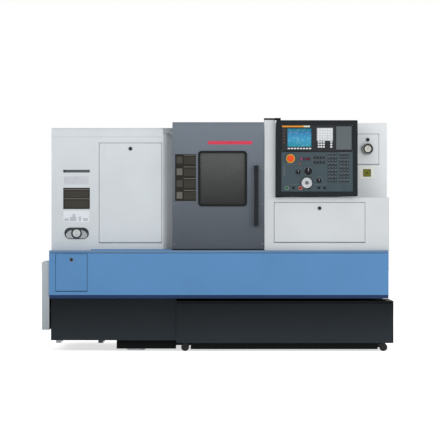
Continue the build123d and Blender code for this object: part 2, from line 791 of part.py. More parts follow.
# Sliding door
window_left = door_left + 194.0
window_right = door_right - 128.0
window_top = door_top - 217.0
window_bottom = window_top - 418.0
window_radius = 27.0
gasket_width = 16.0
gasket_proud = 5.0
glass_thickness = 8.0
glass_grip = 8.0
door_bottom = band_top + 5.0
door_bevel = 26.0
handle_x = door_right - 58.0
handle_length = 456.0
handle_top = window_top - 111.0
handle_bottom = handle_top - handle_length
handle_width = 32.0
handle_depth = 18.0
handle_stand = 45.0
door_gap = 0.2


def make_door():
    section = [
        (door_front + 6, door_bottom), (door_front, door_bottom + 6), (door_front, door_top - door_bevel),
        (door_front + 14, door_top), (cabinet_front + rail_depth, door_top),
        (cabinet_front + rail_depth, door_top - sheet), (door_back, door_top - sheet), (door_back, door_bottom),
    ]
    body = prism_x(section, door_left, door_right)
    body -= block(door_left + sheet, door_right - sheet, door_front + sheet, door_back, door_bottom + 30,
                  door_top - door_bevel - 10)
    rim = 34.0
    body += rounded_y(window_left - rim, window_right + rim, window_bottom - rim, window_top + rim,
                      window_radius + 20, door_front + sheet, door_back)
    for z in (door_bottom + 110, door_bottom + 220):
        body += block(door_left, door_right, door_front + sheet, door_front + 30, z, z + 40)
    body -= rounded_y(window_left + gasket_width / 2, window_right - gasket_width / 2,
                      window_bottom + gasket_width / 2, window_top - gasket_width / 2, window_radius - 8,
                      door_front, door_back)
    body -= block(door_left, door_right, guide_y - guide_width / 2 - 2, guide_y + guide_width / 2 + 2,
                  door_bottom, band_top + guide_height + 4)
    rail_top = roof_height + rail_height
    for x in (door_left + 60, door_right - 160):
        shoe = block(x, x + 100, cabinet_front + 8, cabinet_front + rail_depth, rail_top + door_gap, door_top - sheet)
        bead_back = cabinet_front + rail_depth - 5
        shoe -= block(x, x + 100, bead_back - bead_width - door_gap, bead_back + door_gap, rail_top,
                      rail_top + bead_height + door_gap)
        body += shoe
    return body


def make_gasket():
    y0 = door_front - gasket_proud
    outer = rounded_y(window_left, window_right, window_bottom, window_top, window_radius, y0, door_front)
    inset = gasket_width / 2
    outer += rounded_y(window_left + inset, window_right - inset, window_bottom + inset, window_top - inset,
                       window_radius - 8, door_front, door_front + 22)
    outer -= rounded_y(window_left + gasket_width, window_right - gasket_width, window_bottom + gasket_width,
                       window_top - gasket_width, window_radius - 14, y0, door_front + 22)
    return outer - make_glass()


def make_glass():
    inset = gasket_width - glass_grip + 3
    return rounded_y(window_left + inset, window_right - inset, window_bottom + inset, window_top - inset,
                     window_radius - 12, door_front + 6, door_front + 6 + glass_thickness)


def make_handle():
    face = door_front - handle_stand
    left = handle_x - handle_width / 2
    bar = block(left, left + handle_width, face, face + handle_depth, handle_bottom, handle_top)
    bar = fillet(bar.edges().filter_by(Axis.Z), 6)
    for z in (handle_bottom, handle_top - 50):
        bar += block(left, left + handle_width, face + handle_depth - 1, door_front, z, z + 50)
    return bar


parts["sliding_door"] = make_door()
parts["window_glass"] = make_glass()
parts["window_gasket"] = make_gasket()
parts["door_handle"] = make_handle()

# Swinging control panel on a post hinge
panel_bottom = shelf_height + 8.0
panel_top = column_top - 3.0
hinge_x = panel_left + 14.0
hinge_y = panel_front + 25.0
hinge_pin_radius = 7.0
hinge_plate = 6.0
hinge_cap = 14.0
screen_left = panel_left + 38.0
screen_right = panel_right - 36.0
screen_top = panel_top - 35.0
screen_bottom = screen_top - 198.0
plate_top = screen_bottom - 6.0
plate_bottom = panel_bottom + 35.0
plate_thickness = 5.0
display_left = screen_left + 45.0
display_right = display_left + 182.0
display_bottom = screen_bottom + 33.0
display_top = display_bottom + 139.0
stop_x = screen_left + 69.0
stop_z = plate_top - 50.0
mode_x = screen_left + 127.0
mode_z = plate_top - 150.0
feed_x = screen_left + 203.0
feed_z = plate_top - 145.0
speed_x = screen_left + 284.0
speed_z = plate_top - 215.0
wheel_x = screen_left + 191.0
wheel_z = plate_top - 232.0
wheel_radius = 40.0
start_x = screen_left + 41.0
hold_x = screen_left + 143.0
button_z = plate_bottom + 26.0
button_radius = 13.0
stem_radius = 6.0
stem_depth = 24.0
key_height = 2.5
control_stems = (
    (stop_x, stop_z), (mode_x, mode_z), (feed_x, feed_z), (speed_x, speed_z), (wheel_x, wheel_z),
    (start_x, button_z), (hold_x, button_z),
)


def make_control_housing():
    back = panel_front + panel_depth
    body = rounded_y(panel_left, panel_right, panel_bottom, panel_top, 8, panel_front, back)
    body -= block(panel_left + sheet, panel_right - sheet, panel_front + sheet * 3, back - sheet,
                  panel_bottom + sheet, panel_top - sheet)
    body -= block(screen_left, screen_right, panel_front, panel_front + sheet * 3, screen_bottom, screen_top)
    body -= block(screen_left, screen_right, panel_front, panel_front + sheet * 3, plate_bottom, plate_top)
    for z0, z1 in ((panel_bottom, panel_bottom + 40), (panel_top - 40, panel_top)):
        body += rod_z(z0, z1, hinge_x, hinge_y, hinge_pin_radius + 5)
        body -= rod_z(z0, z1, hinge_x, hinge_y, hinge_pin_radius + running_gap)
    return body


def make_hinge_plates():
    right = hinge_x + 20
    body = block(column_left - 2, right, column_front, column_front + 80, column_top, column_top + hinge_cap)
    body += prism_z([(column_right - 10, column_front), (hinge_x - 18, hinge_y - 18), (right, hinge_y - 18),
                     (right, column_front + 40), (column_right - 10, column_front + 40)],
                    column_top, column_top + hinge_cap)
    body += rod_z(panel_top - 34, column_top, hinge_x, hinge_y, hinge_pin_radius)
    foot = prism_z([(column_right + 2, column_front + 2), (hinge_x - 18, hinge_y - 18), (right, hinge_y - 18),
                    (right + 20, column_front + 60), (column_right + 2, column_front + 60)],
                   shelf_height, shelf_height + hinge_plate)
    foot += rod_z(shelf_height + hinge_plate, panel_bottom + 34, hinge_x, hinge_y, hinge_pin_radius)
    return body + foot


def make_display():
    body = block(screen_left + 0.3, screen_right - 0.3, panel_front + 3, panel_front + 40, screen_bottom + 0.3,
                 screen_top - 0.3)
    unit_right = screen_left + 248.0
    pad_left = unit_right + 20.0
    pad_bottom = screen_bottom + 21.0
    y = panel_front + 3
    body += rounded_y(screen_left + 6, unit_right, screen_bottom + 6, screen_top - 6, 4, y - 2.5, y + 1)
    body -= rounded_y(display_left, display_right, display_bottom, display_top, 3, y - 2.5, y + 1.5)
    keys = 8
    pitch = (display_right - display_left) / keys
    for i in range(keys):
        x = display_left + pitch * i
        body += block(x + 2, x + pitch - 2, y - 4, y, screen_bottom + 14, screen_bottom + 26)
    body += rounded_y(pad_left, pad_left + 119, pad_bottom, pad_bottom + 153, 4, y - 1.5, y)
    columns = 6
    rows = 8
    for row in range(rows):
        for column in range(columns):
            x = pad_left + 4 + column * 18.8
            z = pad_bottom + 4 + row * 18.4
            body += block(x + 1.5, x + 17, y - 3, y - 1.5, z + 1.5, z + 16)
    body += rounded_y(pad_left + 139, screen_right - 7, screen_bottom + 6, screen_top - 6, 4, y - 1.5, y)
    return body


def make_operator_plate():
    y0 = panel_front + 3
    y1 = y0 + plate_thickness
    body = block(screen_left + 0.3, screen_right - 0.3, y0, y1, plate_bottom + 0.3, plate_top - 0.3)
    for x, z in control_stems:
        body += rod_y(y1, y1 + 14, x, z, stem_radius + 6)
        body -= rod_y(y0, y1 + 14, x, z, stem_radius + running_gap)
    for first in (screen_left + 347, screen_left + 436):
        for row in range(9):
            for column in range(3):
                x = first + column * 25
                z = plate_bottom + 67 + row * 25
                body += block(x + 2, x + 21, y0 - key_height, y0, z + 2, z + 21)
    body += rounded_y(screen_left + 138, screen_left + 221, plate_top - 66, plate_top - 40, 3, y0 - 2, y0)
    for x in (screen_left + 347, screen_left + 476):
        body += rod_y(y0 - 8, y0, x, button_z, button_radius)
    return body


def stem(x, z, start):
    """The shaft of a control, from its head back through the operator plate."""
    return rod_y(start, panel_front + 3 + stem_depth, x, z, stem_radius)


def make_stop():
    y = panel_front + 3
    head = rod_y(y - 32, y - 14, stop_x, stop_z, 20)
    head = chamfer(head.edges().filter_by(GeomType.CIRCLE).group_by(Axis.Y)[0], 5)
    return head + rod_y(y - 15, y - 6, stop_x, stop_z, 12) + stem(stop_x, stop_z, y - 7)


def selector(x, z, radius, depth):
    """A round knob with a raised grip bar."""
    y = panel_front + 3
    body = rod_y(y - depth, y - 0.5, x, z, radius)
    body += block(x - 4, x + 4, y - depth - 8, y - depth + 1, z - radius + 2, z + radius - 1)
    return body + stem(x, z, y - 1)


def make_handwheel():
    y = panel_front + 3
    body = rod_y(y - 20, y - 0.5, wheel_x, wheel_z, wheel_radius)
    body = chamfer(body.edges().filter_by(GeomType.CIRCLE).group_by(Axis.Y)[0], 3)
    body -= rod_y(y - 20, y - 16, wheel_x, wheel_z, wheel_radius - 14)
    knob_x = wheel_x + wheel_radius - 12
    body += rod_y(-machine_depth / 2, y - 18, knob_x, wheel_z, 6)
    return body + stem(wheel_x, wheel_z, y - 1)


def push_button(x):
    """A round push-button with a shallow crown."""
    y = panel_front + 3
    body = rod_y(y - 12, y - 6, x, button_z, button_radius)
    return body + rod_y(y - 7, y + 1, x, button_z, stem_radius) + stem(x, button_z, y)


parts["control_housing"] = make_control_housing()
parts["panel_hinges"] = make_hinge_plates()
parts["display_unit"] = make_display()
parts["operator_plate"] = make_operator_plate()
parts["emergency_stop"] = make_stop()
parts["mode_selector"] = selector(mode_x, mode_z, 15, 16)
parts["feed_dial"] = selector(feed_x, feed_z, 30, 14)
parts["speed_selector"] = selector(speed_x, speed_z, 15, 16)
parts["handwheel"] = make_handwheel()
parts["start_button"] = push_button(start_x)
parts["hold_button"] = push_button(hold_x)

# Main switch on the left cabinet
switch_width = 184.0
switch_height = 86.0


def make_switch_plate():
    body = slot_y(switch_x, switch_z, switch_width, switch_height, cabinet_front - 3, cabinet_front)
    return body - rod_y(cabinet_front - 3, cabinet_front, switch_x, switch_z, switch_stem + running_gap)


def make_switch_knob():
    y = cabinet_front - 3 - running_gap
    body = rod_y(y - 4, y, switch_x, switch_z, 40)
    body += rod_y(y - 8, y - 4, switch_x, switch_z, 24)
    return body + rod_y(y, cabinet_front + 30, switch_x, switch_z, switch_stem)


parts["main_switch_plate"] = make_switch_plate()
parts["main_switch_knob"] = make_switch_knob()

# Coolant tank on two wheelsets, with its pump
tank_left = door_left + 29.0
tank_right = machine_width / 2
tank_bottom = 60.0
tank_top = band_bottom - 20.0
tank_front = band_front + 20.0
wheel_r = 30.0
wheel_width = 24.0
axle_radius = 8.0
axle_left = tank_left + 67.0
axle_right = tank_right - 76.0
tank_slide = 900.0
pump_x = tank_right - 93.0
pump_y = tank_back - 180.0


def make_tank():
    body = block(tank_left, tank_right, tank_front, tank_back, tank_bottom, tank_top)
    body -= block(tank_left + sheet, tank_right - sheet, tank_front + sheet, tank_back - sheet,
                  tank_bottom + sheet, tank_top)
    divider = pump_x - 180
    body += block(divider, divider + sheet, tank_front, tank_back, tank_bottom, tank_top - 60)
    body += block(divider + sheet, tank_right, tank_front, tank_back, tank_top - sheet, tank_top)
    body -= rod_z(tank_top - sheet, tank_top, pump_x - 40, pump_y, 62)
    for axle in (axle_left, axle_right):
        for y in (tank_front + 40, tank_back - 40 - 2 * sheet):
            fork = block(axle - 16, axle + 16, y, y + 2 * sheet, wheel_r - 14, tank_bottom)
            body += fork - rod_y(y, y + 2 * sheet, axle, wheel_r, axle_radius + running_gap)
    return body


def make_wheelset(x):
    front = tank_front + 30
    back = tank_back - 30
    body = rod_y(front - wheel_width, back + wheel_width, x, wheel_r, axle_radius)
    for y in (front - wheel_width, back):
        body += rod_y(y, y + wheel_width, x, wheel_r, wheel_r)
    return body


def make_pump():
    x = pump_x - 40
    body = rod_z(tank_bottom + 40, tank_top, x, pump_y, 55)
    body += rod_z(tank_top, tank_top + 10, x, pump_y, 80)
    return body


parts["coolant_tank"] = make_tank()
parts["coolant_pump"] = make_pump()
parts["left_wheelset"] = make_wheelset(axle_left)
parts["right_wheelset"] = make_wheelset(axle_right)

# Rear units and feet
hydraulic_bottom = 165.0
hydraulic_top = band_top - 70.0
electric_left = cabinet_left + 376.0
electric_right = cover_right - 392.0
electric_bottom = 300.0
electric_top = roof_height - 2.0
foot_radius = 70.0


def make_hydraulic_unit():
    front = rear_wall + 30
    rear = machine_depth / 2
    left = -machine_width / 2
    right = left + 420
    body = block(left, right, front, rear, hydraulic_bottom, hydraulic_top)
    body = chamfer(body.edges().filter_by(Axis.Z), 10)
    body += block(cabinet_left + 5, right - 30, rear_wall + sheet, front, hydraulic_top - 180, hydraulic_top - 60)
    for x in (left + 20, right - 60):
        for y in (front + 20, rear - 60):
            body += block(x, x + 40, y, y + 40, 0, hydraulic_bottom)
    body += Pos(left + 210, (front + rear) / 2, hydraulic_top + 110) * Cylinder(85, 220)
    return body


def make_electrical_cabinet():
    front = rear_wall + sheet
    rear = machine_depth / 2
    body = block(electric_left, electric_right, front, rear - 6, electric_bottom, electric_top)
    body -= block(electric_left + sheet, electric_right - sheet, front, rear - 6 - sheet, electric_bottom + sheet,
                  electric_top - sheet)
    middle = (electric_left + electric_right) / 2
    for x0, x1 in ((electric_left + 8, middle - 2), (middle + 2, electric_right - 8)):
        body += block(x0, x1, rear - 6, rear, electric_bottom + 8, electric_top - 8)
    return body


def make_feet():
    feet = []
    for x in (bed_left + 143, (bed_left + bed_right) / 2 + 73, bed_right - 77):
        for y in (bed_front + 60, bed_back - 60):
            feet.append((x, y))
    feet.append((bed_left + 143, cabinet_front + 120))
    body = None
    for x, y in feet:
        foot = rod_z(0, bed_clearance, x, y, foot_radius)
        body = foot if body is None else body + foot
    return body


parts["hydraulic_unit"] = make_hydraulic_unit()
parts["electrical_cabinet"] = make_electrical_cabinet()
parts["levelling_feet"] = make_feet()

os.makedirs("parts", exist_ok=True)
for name, shape in parts.items():
    export_step(shape, f"parts/{name}.step")
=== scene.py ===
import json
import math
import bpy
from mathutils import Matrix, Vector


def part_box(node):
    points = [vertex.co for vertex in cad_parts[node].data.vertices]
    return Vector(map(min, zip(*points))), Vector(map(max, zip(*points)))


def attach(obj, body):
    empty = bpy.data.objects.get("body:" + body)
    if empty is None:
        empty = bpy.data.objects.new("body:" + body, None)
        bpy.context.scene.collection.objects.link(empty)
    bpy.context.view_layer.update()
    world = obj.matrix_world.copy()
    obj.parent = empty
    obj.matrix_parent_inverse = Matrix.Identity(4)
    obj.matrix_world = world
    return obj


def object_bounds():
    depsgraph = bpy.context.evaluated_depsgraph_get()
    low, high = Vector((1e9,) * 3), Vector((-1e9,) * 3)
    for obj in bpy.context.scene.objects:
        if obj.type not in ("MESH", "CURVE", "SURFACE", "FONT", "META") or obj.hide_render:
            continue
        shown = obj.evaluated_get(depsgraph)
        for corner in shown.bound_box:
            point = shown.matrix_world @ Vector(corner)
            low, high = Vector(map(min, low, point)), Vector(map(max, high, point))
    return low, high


bl_info = {
    "name": "CNC turning lathe",
    "version": (1, 0, 0),
    "blender": (4, 5, 0),
    "location": "View3D > Sidebar > Lathe",
    "description": "Finishes and trim for a slant-bed turning lathe, built round its packed frame",
    "category": "Object",
}

import bmesh
import bpy
from mathutils import Vector

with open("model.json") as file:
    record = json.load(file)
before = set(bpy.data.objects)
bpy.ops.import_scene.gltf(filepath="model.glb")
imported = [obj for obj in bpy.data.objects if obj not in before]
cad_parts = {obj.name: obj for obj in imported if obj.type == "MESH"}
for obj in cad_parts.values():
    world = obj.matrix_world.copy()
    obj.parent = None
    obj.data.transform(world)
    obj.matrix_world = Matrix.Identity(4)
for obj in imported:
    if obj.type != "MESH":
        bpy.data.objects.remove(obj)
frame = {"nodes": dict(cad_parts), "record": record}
CAD_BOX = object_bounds()


def rgba(code):
    """A colour written as six hex digits, as linear red, green, blue and full alpha."""
    channels = [int(code[i:i + 2], 16) / 255 for i in (0, 2, 4)]
    return (*(c / 12.92 if c <= 0.04045 else ((c + 0.055) / 1.055) ** 2.4 for c in channels), 1.0)


# Properties


def colour_prop(name, code):
    return bpy.props.FloatVectorProperty(
        name=name, description=f"Colour of the {name.lower()}", subtype="COLOR", size=4, min=0, max=1,
        default=rgba(code),
    )


def length_prop(name, metres, description=None):
    return bpy.props.FloatProperty(
        name=name, description=description or f"{name} in metres", default=metres, unit="LENGTH", precision=4
    )


class LathePaints(bpy.types.PropertyGroup):
    cabinet: colour_prop("Cabinet paint", "cfd5d9")
    cover: colour_prop("Right cover paint", "cfd3d5")
    # Painted light: a lighter copy of the cover paint, so that the end cabinet, shaded behind the control
    # panel, looks as bright as the covers.
    end_cabinet: colour_prop("End cabinet paint", "e2e6e8")
    door: colour_prop("Door paint", "5e656e")
    band: colour_prop("Base band paint", "5a8aba")
    dark: colour_prop("Skirt and tank paint", "262b2f")
    bezel: colour_prop("Control housing paint", "24282b")
    plate: colour_prop("Operator plate paint", "46545a")
    casting: colour_prop("Casting paint", "7f888e")


class LatheTrim(bpy.types.PropertyGroup):
    cover_screw: length_prop("Cover screw radius", 0.0045, "Head radius of the screws on doors and covers")
    side_screw: length_prop("Side screw radius", 0.005, "Head radius of the screws on sides and skirt")
    box_depth: length_prop("Side box depth", 0.360, "Depth of the narrow box on the left wall")
    box_foot: length_prop("Side box foot", 0.160, "Height of the side box's lower end above the floor")
    box_head: length_prop("Side box head", 0.676, "Height of the side box's upper end above the floor")
    hose: length_prop("Hose radius", 0.012)
    crown: length_prop("Emergency stop crown radius", 0.0258)
    key_pitch: length_prop("Key pitch", 0.025, "Distance between the keys of the operator plate")


class LatheView(bpy.types.PropertyGroup):
    distance: length_prop("Camera distance", 18.0, "Distance from the lens to the front of the machine")
    height: length_prop("Camera height", 0.96)
    side: length_prop("Camera side shift", 0.044)
    frame_width: length_prop("Frame width", 3.3525, "Width that the picture takes in at the front")


def paints():
    return bpy.context.scene.lathe_paints


def trim():
    return bpy.context.scene.lathe_trim


# Shader nodes

NOISE_LOW, NOISE_HIGH = 0.3, 0.7


def math_node(tree, operation, a, b=None):
    node = tree.nodes.new("ShaderNodeMath")
    node.operation = operation
    for i, value in enumerate((a, b)):
        if isinstance(value, (int, float)):
            node.inputs[i].default_value = value
        elif value is not None:
            tree.links.new(value, node.inputs[i])
    return node.outputs[0]


def product(tree, a, b):
    return math_node(tree, "MULTIPLY", a, b)


def total(tree, a, b):
    return math_node(tree, "ADD", a, b)


def noise_node(tree, vector, scale, detail):
    node = tree.nodes.new("ShaderNodeTexNoise")
    node.inputs["Detail"].default_value = detail
    node.inputs["Roughness"].default_value = 0.55
    tree.links.new(vector, node.inputs["Vector"])
    if isinstance(scale, (int, float)):
        node.inputs["Scale"].default_value = scale
    else:
        tree.links.new(scale, node.inputs["Scale"])
    return node.outputs["Fac"]


def map_range(tree, value, low, high, to_low, to_high):
    node = tree.nodes.new("ShaderNodeMapRange")
    tree.links.new(value, node.inputs["Value"])
    for label, number in zip(("From Min", "From Max", "To Min", "To Max"), (low, high, to_low, to_high)):
        if isinstance(number, (int, float)):
            node.inputs[label].default_value = number
        else:
            tree.links.new(number, node.inputs[label])
    return node.outputs["Result"]


def spread(tree, noise, low, high):
    """Noise stretched over its usual span to the range from low to high."""
    return map_range(tree, noise, NOISE_LOW, NOISE_HIGH, low, high)


def object_place(tree):
    return tree.nodes.new("ShaderNodeTexCoord").outputs["Object"]


def height_of(tree, vector):
    """The Z part of a vector."""
    split = tree.nodes.new("ShaderNodeSeparateXYZ")
    tree.links.new(vector, split.inputs[0])
    return split.outputs["Z"]


def shaded(tree, colour, value):
    """A colour whose brightness is multiplied by a value."""
    node = tree.nodes.new("ShaderNodeHueSaturation")
    tree.links.new(colour, node.inputs["Color"])
    tree.links.new(value, node.inputs["Value"])
    return node.outputs[0]


def tinted(tree, share, colour, code):
    """A colour mixed with a fixed one by a share."""
    mix = tree.nodes.new("ShaderNodeMix")
    mix.data_type = "RGBA"
    tree.links.new(share, mix.inputs["Factor"])
    tree.links.new(colour, mix.inputs["A"])
    mix.inputs["B"].default_value = rgba(code)
    return mix.outputs["Result"]


# Shader groups


def new_group(name, values):
    """A shader group from a colour, a roughness and named values to colour, roughness and height."""
    tree = bpy.data.node_groups.new(name, "ShaderNodeTree")
    tree.interface.new_socket("Color", in_out="INPUT", socket_type="NodeSocketColor")
    for label, default in {"Roughness": 0.4, **values}.items():
        socket = tree.interface.new_socket(label, in_out="INPUT", socket_type="NodeSocketFloat")
        socket.default_value = default
    for label, kind in (("Color", "Color"), ("Roughness", "Float"), ("Height", "Float")):
        tree.interface.new_socket(label, in_out="OUTPUT", socket_type=f"NodeSocket{kind}")
    return tree, tree.nodes.new("NodeGroupInput").outputs, tree.nodes.new("NodeGroupOutput").inputs


def sheet_paint():
    """Sheet paint: orange peel, faint cloudy shade, a fade with height that paints light and shade into the
    colour, and dust on faces turned up.
    """
    tree, given, result = new_group("sheet_paint", {
        "Peel": 220.0, "Cloud": 0.04, "Dust": 0.06,
        "Foot": 0.0, "Head": 2.0, "Foot Value": 1.0, "Head Value": 1.0,
    })
    place = object_place(tree)
    swing = spread(tree, noise_node(tree, place, 2.3, 4.0), -1.0, 1.0)
    cloud = total(tree, product(tree, swing, given["Cloud"]), 1.0)
    # Painted light and shade: the colour is scaled from the foot value to the head value with height.
    fade = map_range(tree, height_of(tree, place), given["Foot"], given["Head"], given["Foot Value"],
                     given["Head Value"])
    colour = shaded(tree, given["Color"], product(tree, cloud, fade))
    normal = tree.nodes.new("ShaderNodeNewGeometry").outputs["Normal"]
    up = map_range(tree, height_of(tree, normal), 0.4, 1.0, 0.0, 1.0)
    specks = map_range(tree, noise_node(tree, place, 60.0, 6.0), 0.4, 0.7, 0.2, 1.0)
    dust = product(tree, product(tree, up, specks), given["Dust"])
    tree.links.new(tinted(tree, dust, colour, "b9b4aa"), result["Color"])
    smear = spread(tree, noise_node(tree, place, 6.0, 5.0), -0.05, 0.05)
    rough = total(tree, given["Roughness"], smear)
    tree.links.new(total(tree, rough, product(tree, dust, 0.8)), result["Roughness"])
    tree.links.new(noise_node(tree, place, given["Peel"], 2.0), result["Height"])
    return tree


def brushed_metal():
    """Brushed or turned metal: fine stretched lines and cloudy wear."""
    stretches = {"Stretch X": 4.0, "Stretch Y": 300.0, "Stretch Z": 300.0}
    tree, given, result = new_group("brushed_metal", stretches)
    place = object_place(tree)
    stretch = tree.nodes.new("ShaderNodeCombineXYZ")
    for axis in "XYZ":
        tree.links.new(given[f"Stretch {axis}"], stretch.inputs[axis])
    scaled = tree.nodes.new("ShaderNodeVectorMath")
    scaled.operation = "MULTIPLY"
    tree.links.new(place, scaled.inputs[0])
    tree.links.new(stretch.outputs[0], scaled.inputs[1])
    lines = noise_node(tree, scaled.outputs[0], 1.0, 3.0)
    wear = noise_node(tree, place, 9.0, 5.0)
    value = total(tree, spread(tree, lines, -0.08, 0.08), spread(tree, wear, 0.92, 1.06))
    tree.links.new(shaded(tree, given["Color"], value), result["Color"])
    tree.links.new(total(tree, given["Roughness"], spread(tree, wear, -0.06, 0.08)), result["Roughness"])
    tree.links.new(lines, result["Height"])
    return tree


def pebbled_grain():
    """Moulded plastic, rubber and vinyl: a fine pebbled grain with a little mottling."""
    tree, given, result = new_group("pebbled_grain", {"Grain": 500.0, "Mottle": 0.08})
    place = object_place(tree)
    cells = tree.nodes.new("ShaderNodeTexVoronoi")
    tree.links.new(place, cells.inputs["Vector"])
    tree.links.new(given["Grain"], cells.inputs["Scale"])
    mottle = noise_node(tree, place, 14.0, 5.0)
    swing = product(tree, spread(tree, mottle, -1.0, 1.0), given["Mottle"])
    tree.links.new(shaded(tree, given["Color"], total(tree, swing, 1.0)), result["Color"])
    tree.links.new(total(tree, given["Roughness"], spread(tree, mottle, -0.05, 0.05)), result["Roughness"])
    tree.links.new(cells.outputs["Distance"], result["Height"])
    return tree


def group_named(maker):
    """The node group that a maker function is named for, built the first time it is asked for."""
    return bpy.data.node_groups.get(maker.__name__) or maker()


# Finishes


def finish_material(name, maker, colour, roughness, relief, depth, metallic=0.0, specular=0.2, glow=0.0,
                    **values):
    """A Principled material whose colour, roughness and relief come from a shared group."""
    if name in bpy.data.materials:
        return bpy.data.materials[name]
    material = bpy.data.materials.new(name)
    material.use_nodes = True
    tree = material.node_tree
    shader = tree.nodes["Principled BSDF"]
    effect = tree.nodes.new("ShaderNodeGroup")
    effect.node_tree = group_named(maker)
    effect.inputs["Color"].default_value = colour
    effect.inputs["Roughness"].default_value = roughness
    for label, value in values.items():
        effect.inputs[label.replace("_", " ")].default_value = value
    tree.links.new(effect.outputs["Color"], shader.inputs["Base Color"])
    tree.links.new(effect.outputs["Roughness"], shader.inputs["Roughness"])
    bump = tree.nodes.new("ShaderNodeBump")
    bump.inputs["Strength"].default_value = relief
    bump.inputs["Distance"].default_value = depth
    tree.links.new(effect.outputs["Height"], bump.inputs["Height"])
    tree.links.new(bump.outputs["Normal"], shader.inputs["Normal"])
    shader.inputs["Metallic"].default_value = metallic
    shader.inputs["Specular IOR Level"].default_value = specular
    if glow:
        shader.inputs["Emission Color"].default_value = colour
        shader.inputs["Emission Strength"].default_value = glow
    return material


def painted(name, colour, roughness=0.42, specular=0.2, **values):
    return finish_material(name, sheet_paint, tuple(colour), roughness, relief=0.03, depth=0.0004,
                           specular=specular, **values)


def metal(name, code, roughness, along="X"):
    stretch = {f"Stretch_{axis}": 6.0 if axis == along else 260.0 for axis in "XYZ"}
    return finish_material(name, brushed_metal, rgba(code), roughness, relief=0.04, depth=0.0003,
                           metallic=1.0, specular=0.5, **stretch)


def moulded(name, code, roughness=0.5, grain=900.0, relief=0.05, mottle=0.06, glow=0.0):
    return finish_material(name, pebbled_grain, rgba(code), roughness, relief, depth=0.0003,
                           specular=0.15, glow=glow, Grain=grain, Mottle=mottle)


def glossy(name, code, roughness=0.3, glow=0.0):
    """Smooth plastic of buttons and caps."""
    return moulded(name, code, roughness, 1200.0, 0.02, 0.03, glow)


def vinyl(name, code, roughness=0.35):
    """Printed film."""
    return moulded(name, code, roughness, 1400.0, 0.015, 0.05)


def lamp_lens(name, code, roughness, glow):
    return moulded(name, code, roughness, 1400.0, 0.01, 0.04, glow)


def screw_steel():
    return metal("screw_steel", "8f9296", 0.32, "Y")


def screw_black():
    return metal("screw_black", "2c2e30", 0.35, "Y")


def screw_pale():
    return painted("screw_pale", paints().cabinet)


def runner_paint():
    return painted("runner_paint", rgba("111314"), 0.6, 0.05, Dust=0.15)


def clear_glass(name, code, roughness, cover):
    """Tinted glass that shows a little of what lies behind it, painted paler at its head as a painted
    reflection, with a faint film.
    """
    if name in bpy.data.materials:
        return bpy.data.materials[name]
    low, high = box_of("window_glass")
    # Painted reflection: the glass is darker at its foot and paler at its head.
    material = finish_material(name, sheet_paint, rgba(code), roughness, relief=0.0, depth=0.001,
                               specular=0.35, Cloud=0.10, Dust=0.0, Foot=low.z, Head=high.z,
                               Foot_Value=0.46, Head_Value=1.75)
    tree = material.node_tree
    film = spread(tree, noise_node(tree, object_place(tree), 5.0, 4.0), cover - 0.04, cover + 0.04)
    tree.links.new(film, tree.nodes["Principled BSDF"].inputs["Alpha"])
    return material


def finish_of(slot):
    """The material for one of the record's slots."""
    p = paints()
    name = f"{slot}_finish"
    makers = {
        # Painted light: the cabinet paint is a little darker at its foot and lighter at its head.
        "cabinet_paint": lambda: painted(name, p.cabinet, Foot=0.75, Head=1.65, Foot_Value=0.95,
                                         Head_Value=1.03),
        "panel_paint": lambda: painted(name, p.cover),
        # Painted light: the door paint is darker towards its foot and much lighter towards its head, painted
        # light from above.
        "door_paint": lambda: painted(name, p.door, 0.36, Foot=0.82, Head=1.68, Foot_Value=0.68,
                                      Head_Value=1.5),
        "band_paint": lambda: painted(name, p.band, 0.38, 0.15),
        # Painted shade: the skirt and tank paint darkens towards its head, the shade under the overhanging
        # band, and is lighter at its foot.
        "dark_paint": lambda: painted(name, p.dark, 0.55, 0.08, Peel=420.0, Dust=0.1, Foot=0.10, Head=0.37,
                                      Foot_Value=1.25, Head_Value=0.45),
        "bezel_paint": lambda: painted(name, p.bezel, 0.55, 0.08, Peel=420.0),
        "plate_paint": lambda: painted(name, p.plate, 0.55, 0.08, Peel=500.0),
        # The casting turns near-black below 0.078 m: partly the dark foot of the base, partly painted shade
        # in the gap under the skirt.
        "casting": lambda: painted(name, p.casting, 0.55, 0.15, Peel=260.0, Cloud=0.08, Foot=0.078,
                                   Head=0.081, Foot_Value=0.06),
        "machined_iron": lambda: metal(name, "9a9c9e", 0.38),
        "steel": lambda: metal(name, "b4b6b9", 0.26),
        "hardened_steel": lambda: metal(name, "7d7f83", 0.3),
        "aluminium": lambda: metal(name, "c9cccf", 0.3, "Y"),
        "liner_steel": lambda: metal(name, "8d9093", 0.36, "Z"),
        "motor_paint": lambda: moulded(name, "1d1e20", 0.42, 400.0, 0.1),
        "rubber": lambda: moulded(name, "15191b", 0.62, 700.0, 0.1),
        "glass": lambda: clear_glass(name, "484949", 0.10, 0.80),
        "handle_plastic": lambda: moulded(name, "1d2226", 0.42),
        "black_plastic": lambda: moulded(name, "1b1c1e", 0.36),
        "red_plastic": lambda: glossy(name, "d4492a"),
        "green_plastic": lambda: glossy(name, "2a6a40"),
        "screen_unit": lambda: moulded(name, "2b2d30"),
        "caster_nylon": lambda: moulded(name, "232426"),
        "switch_plate": lambda: moulded(name, "33363a", 0.4),
    }
    return makers[slot]()


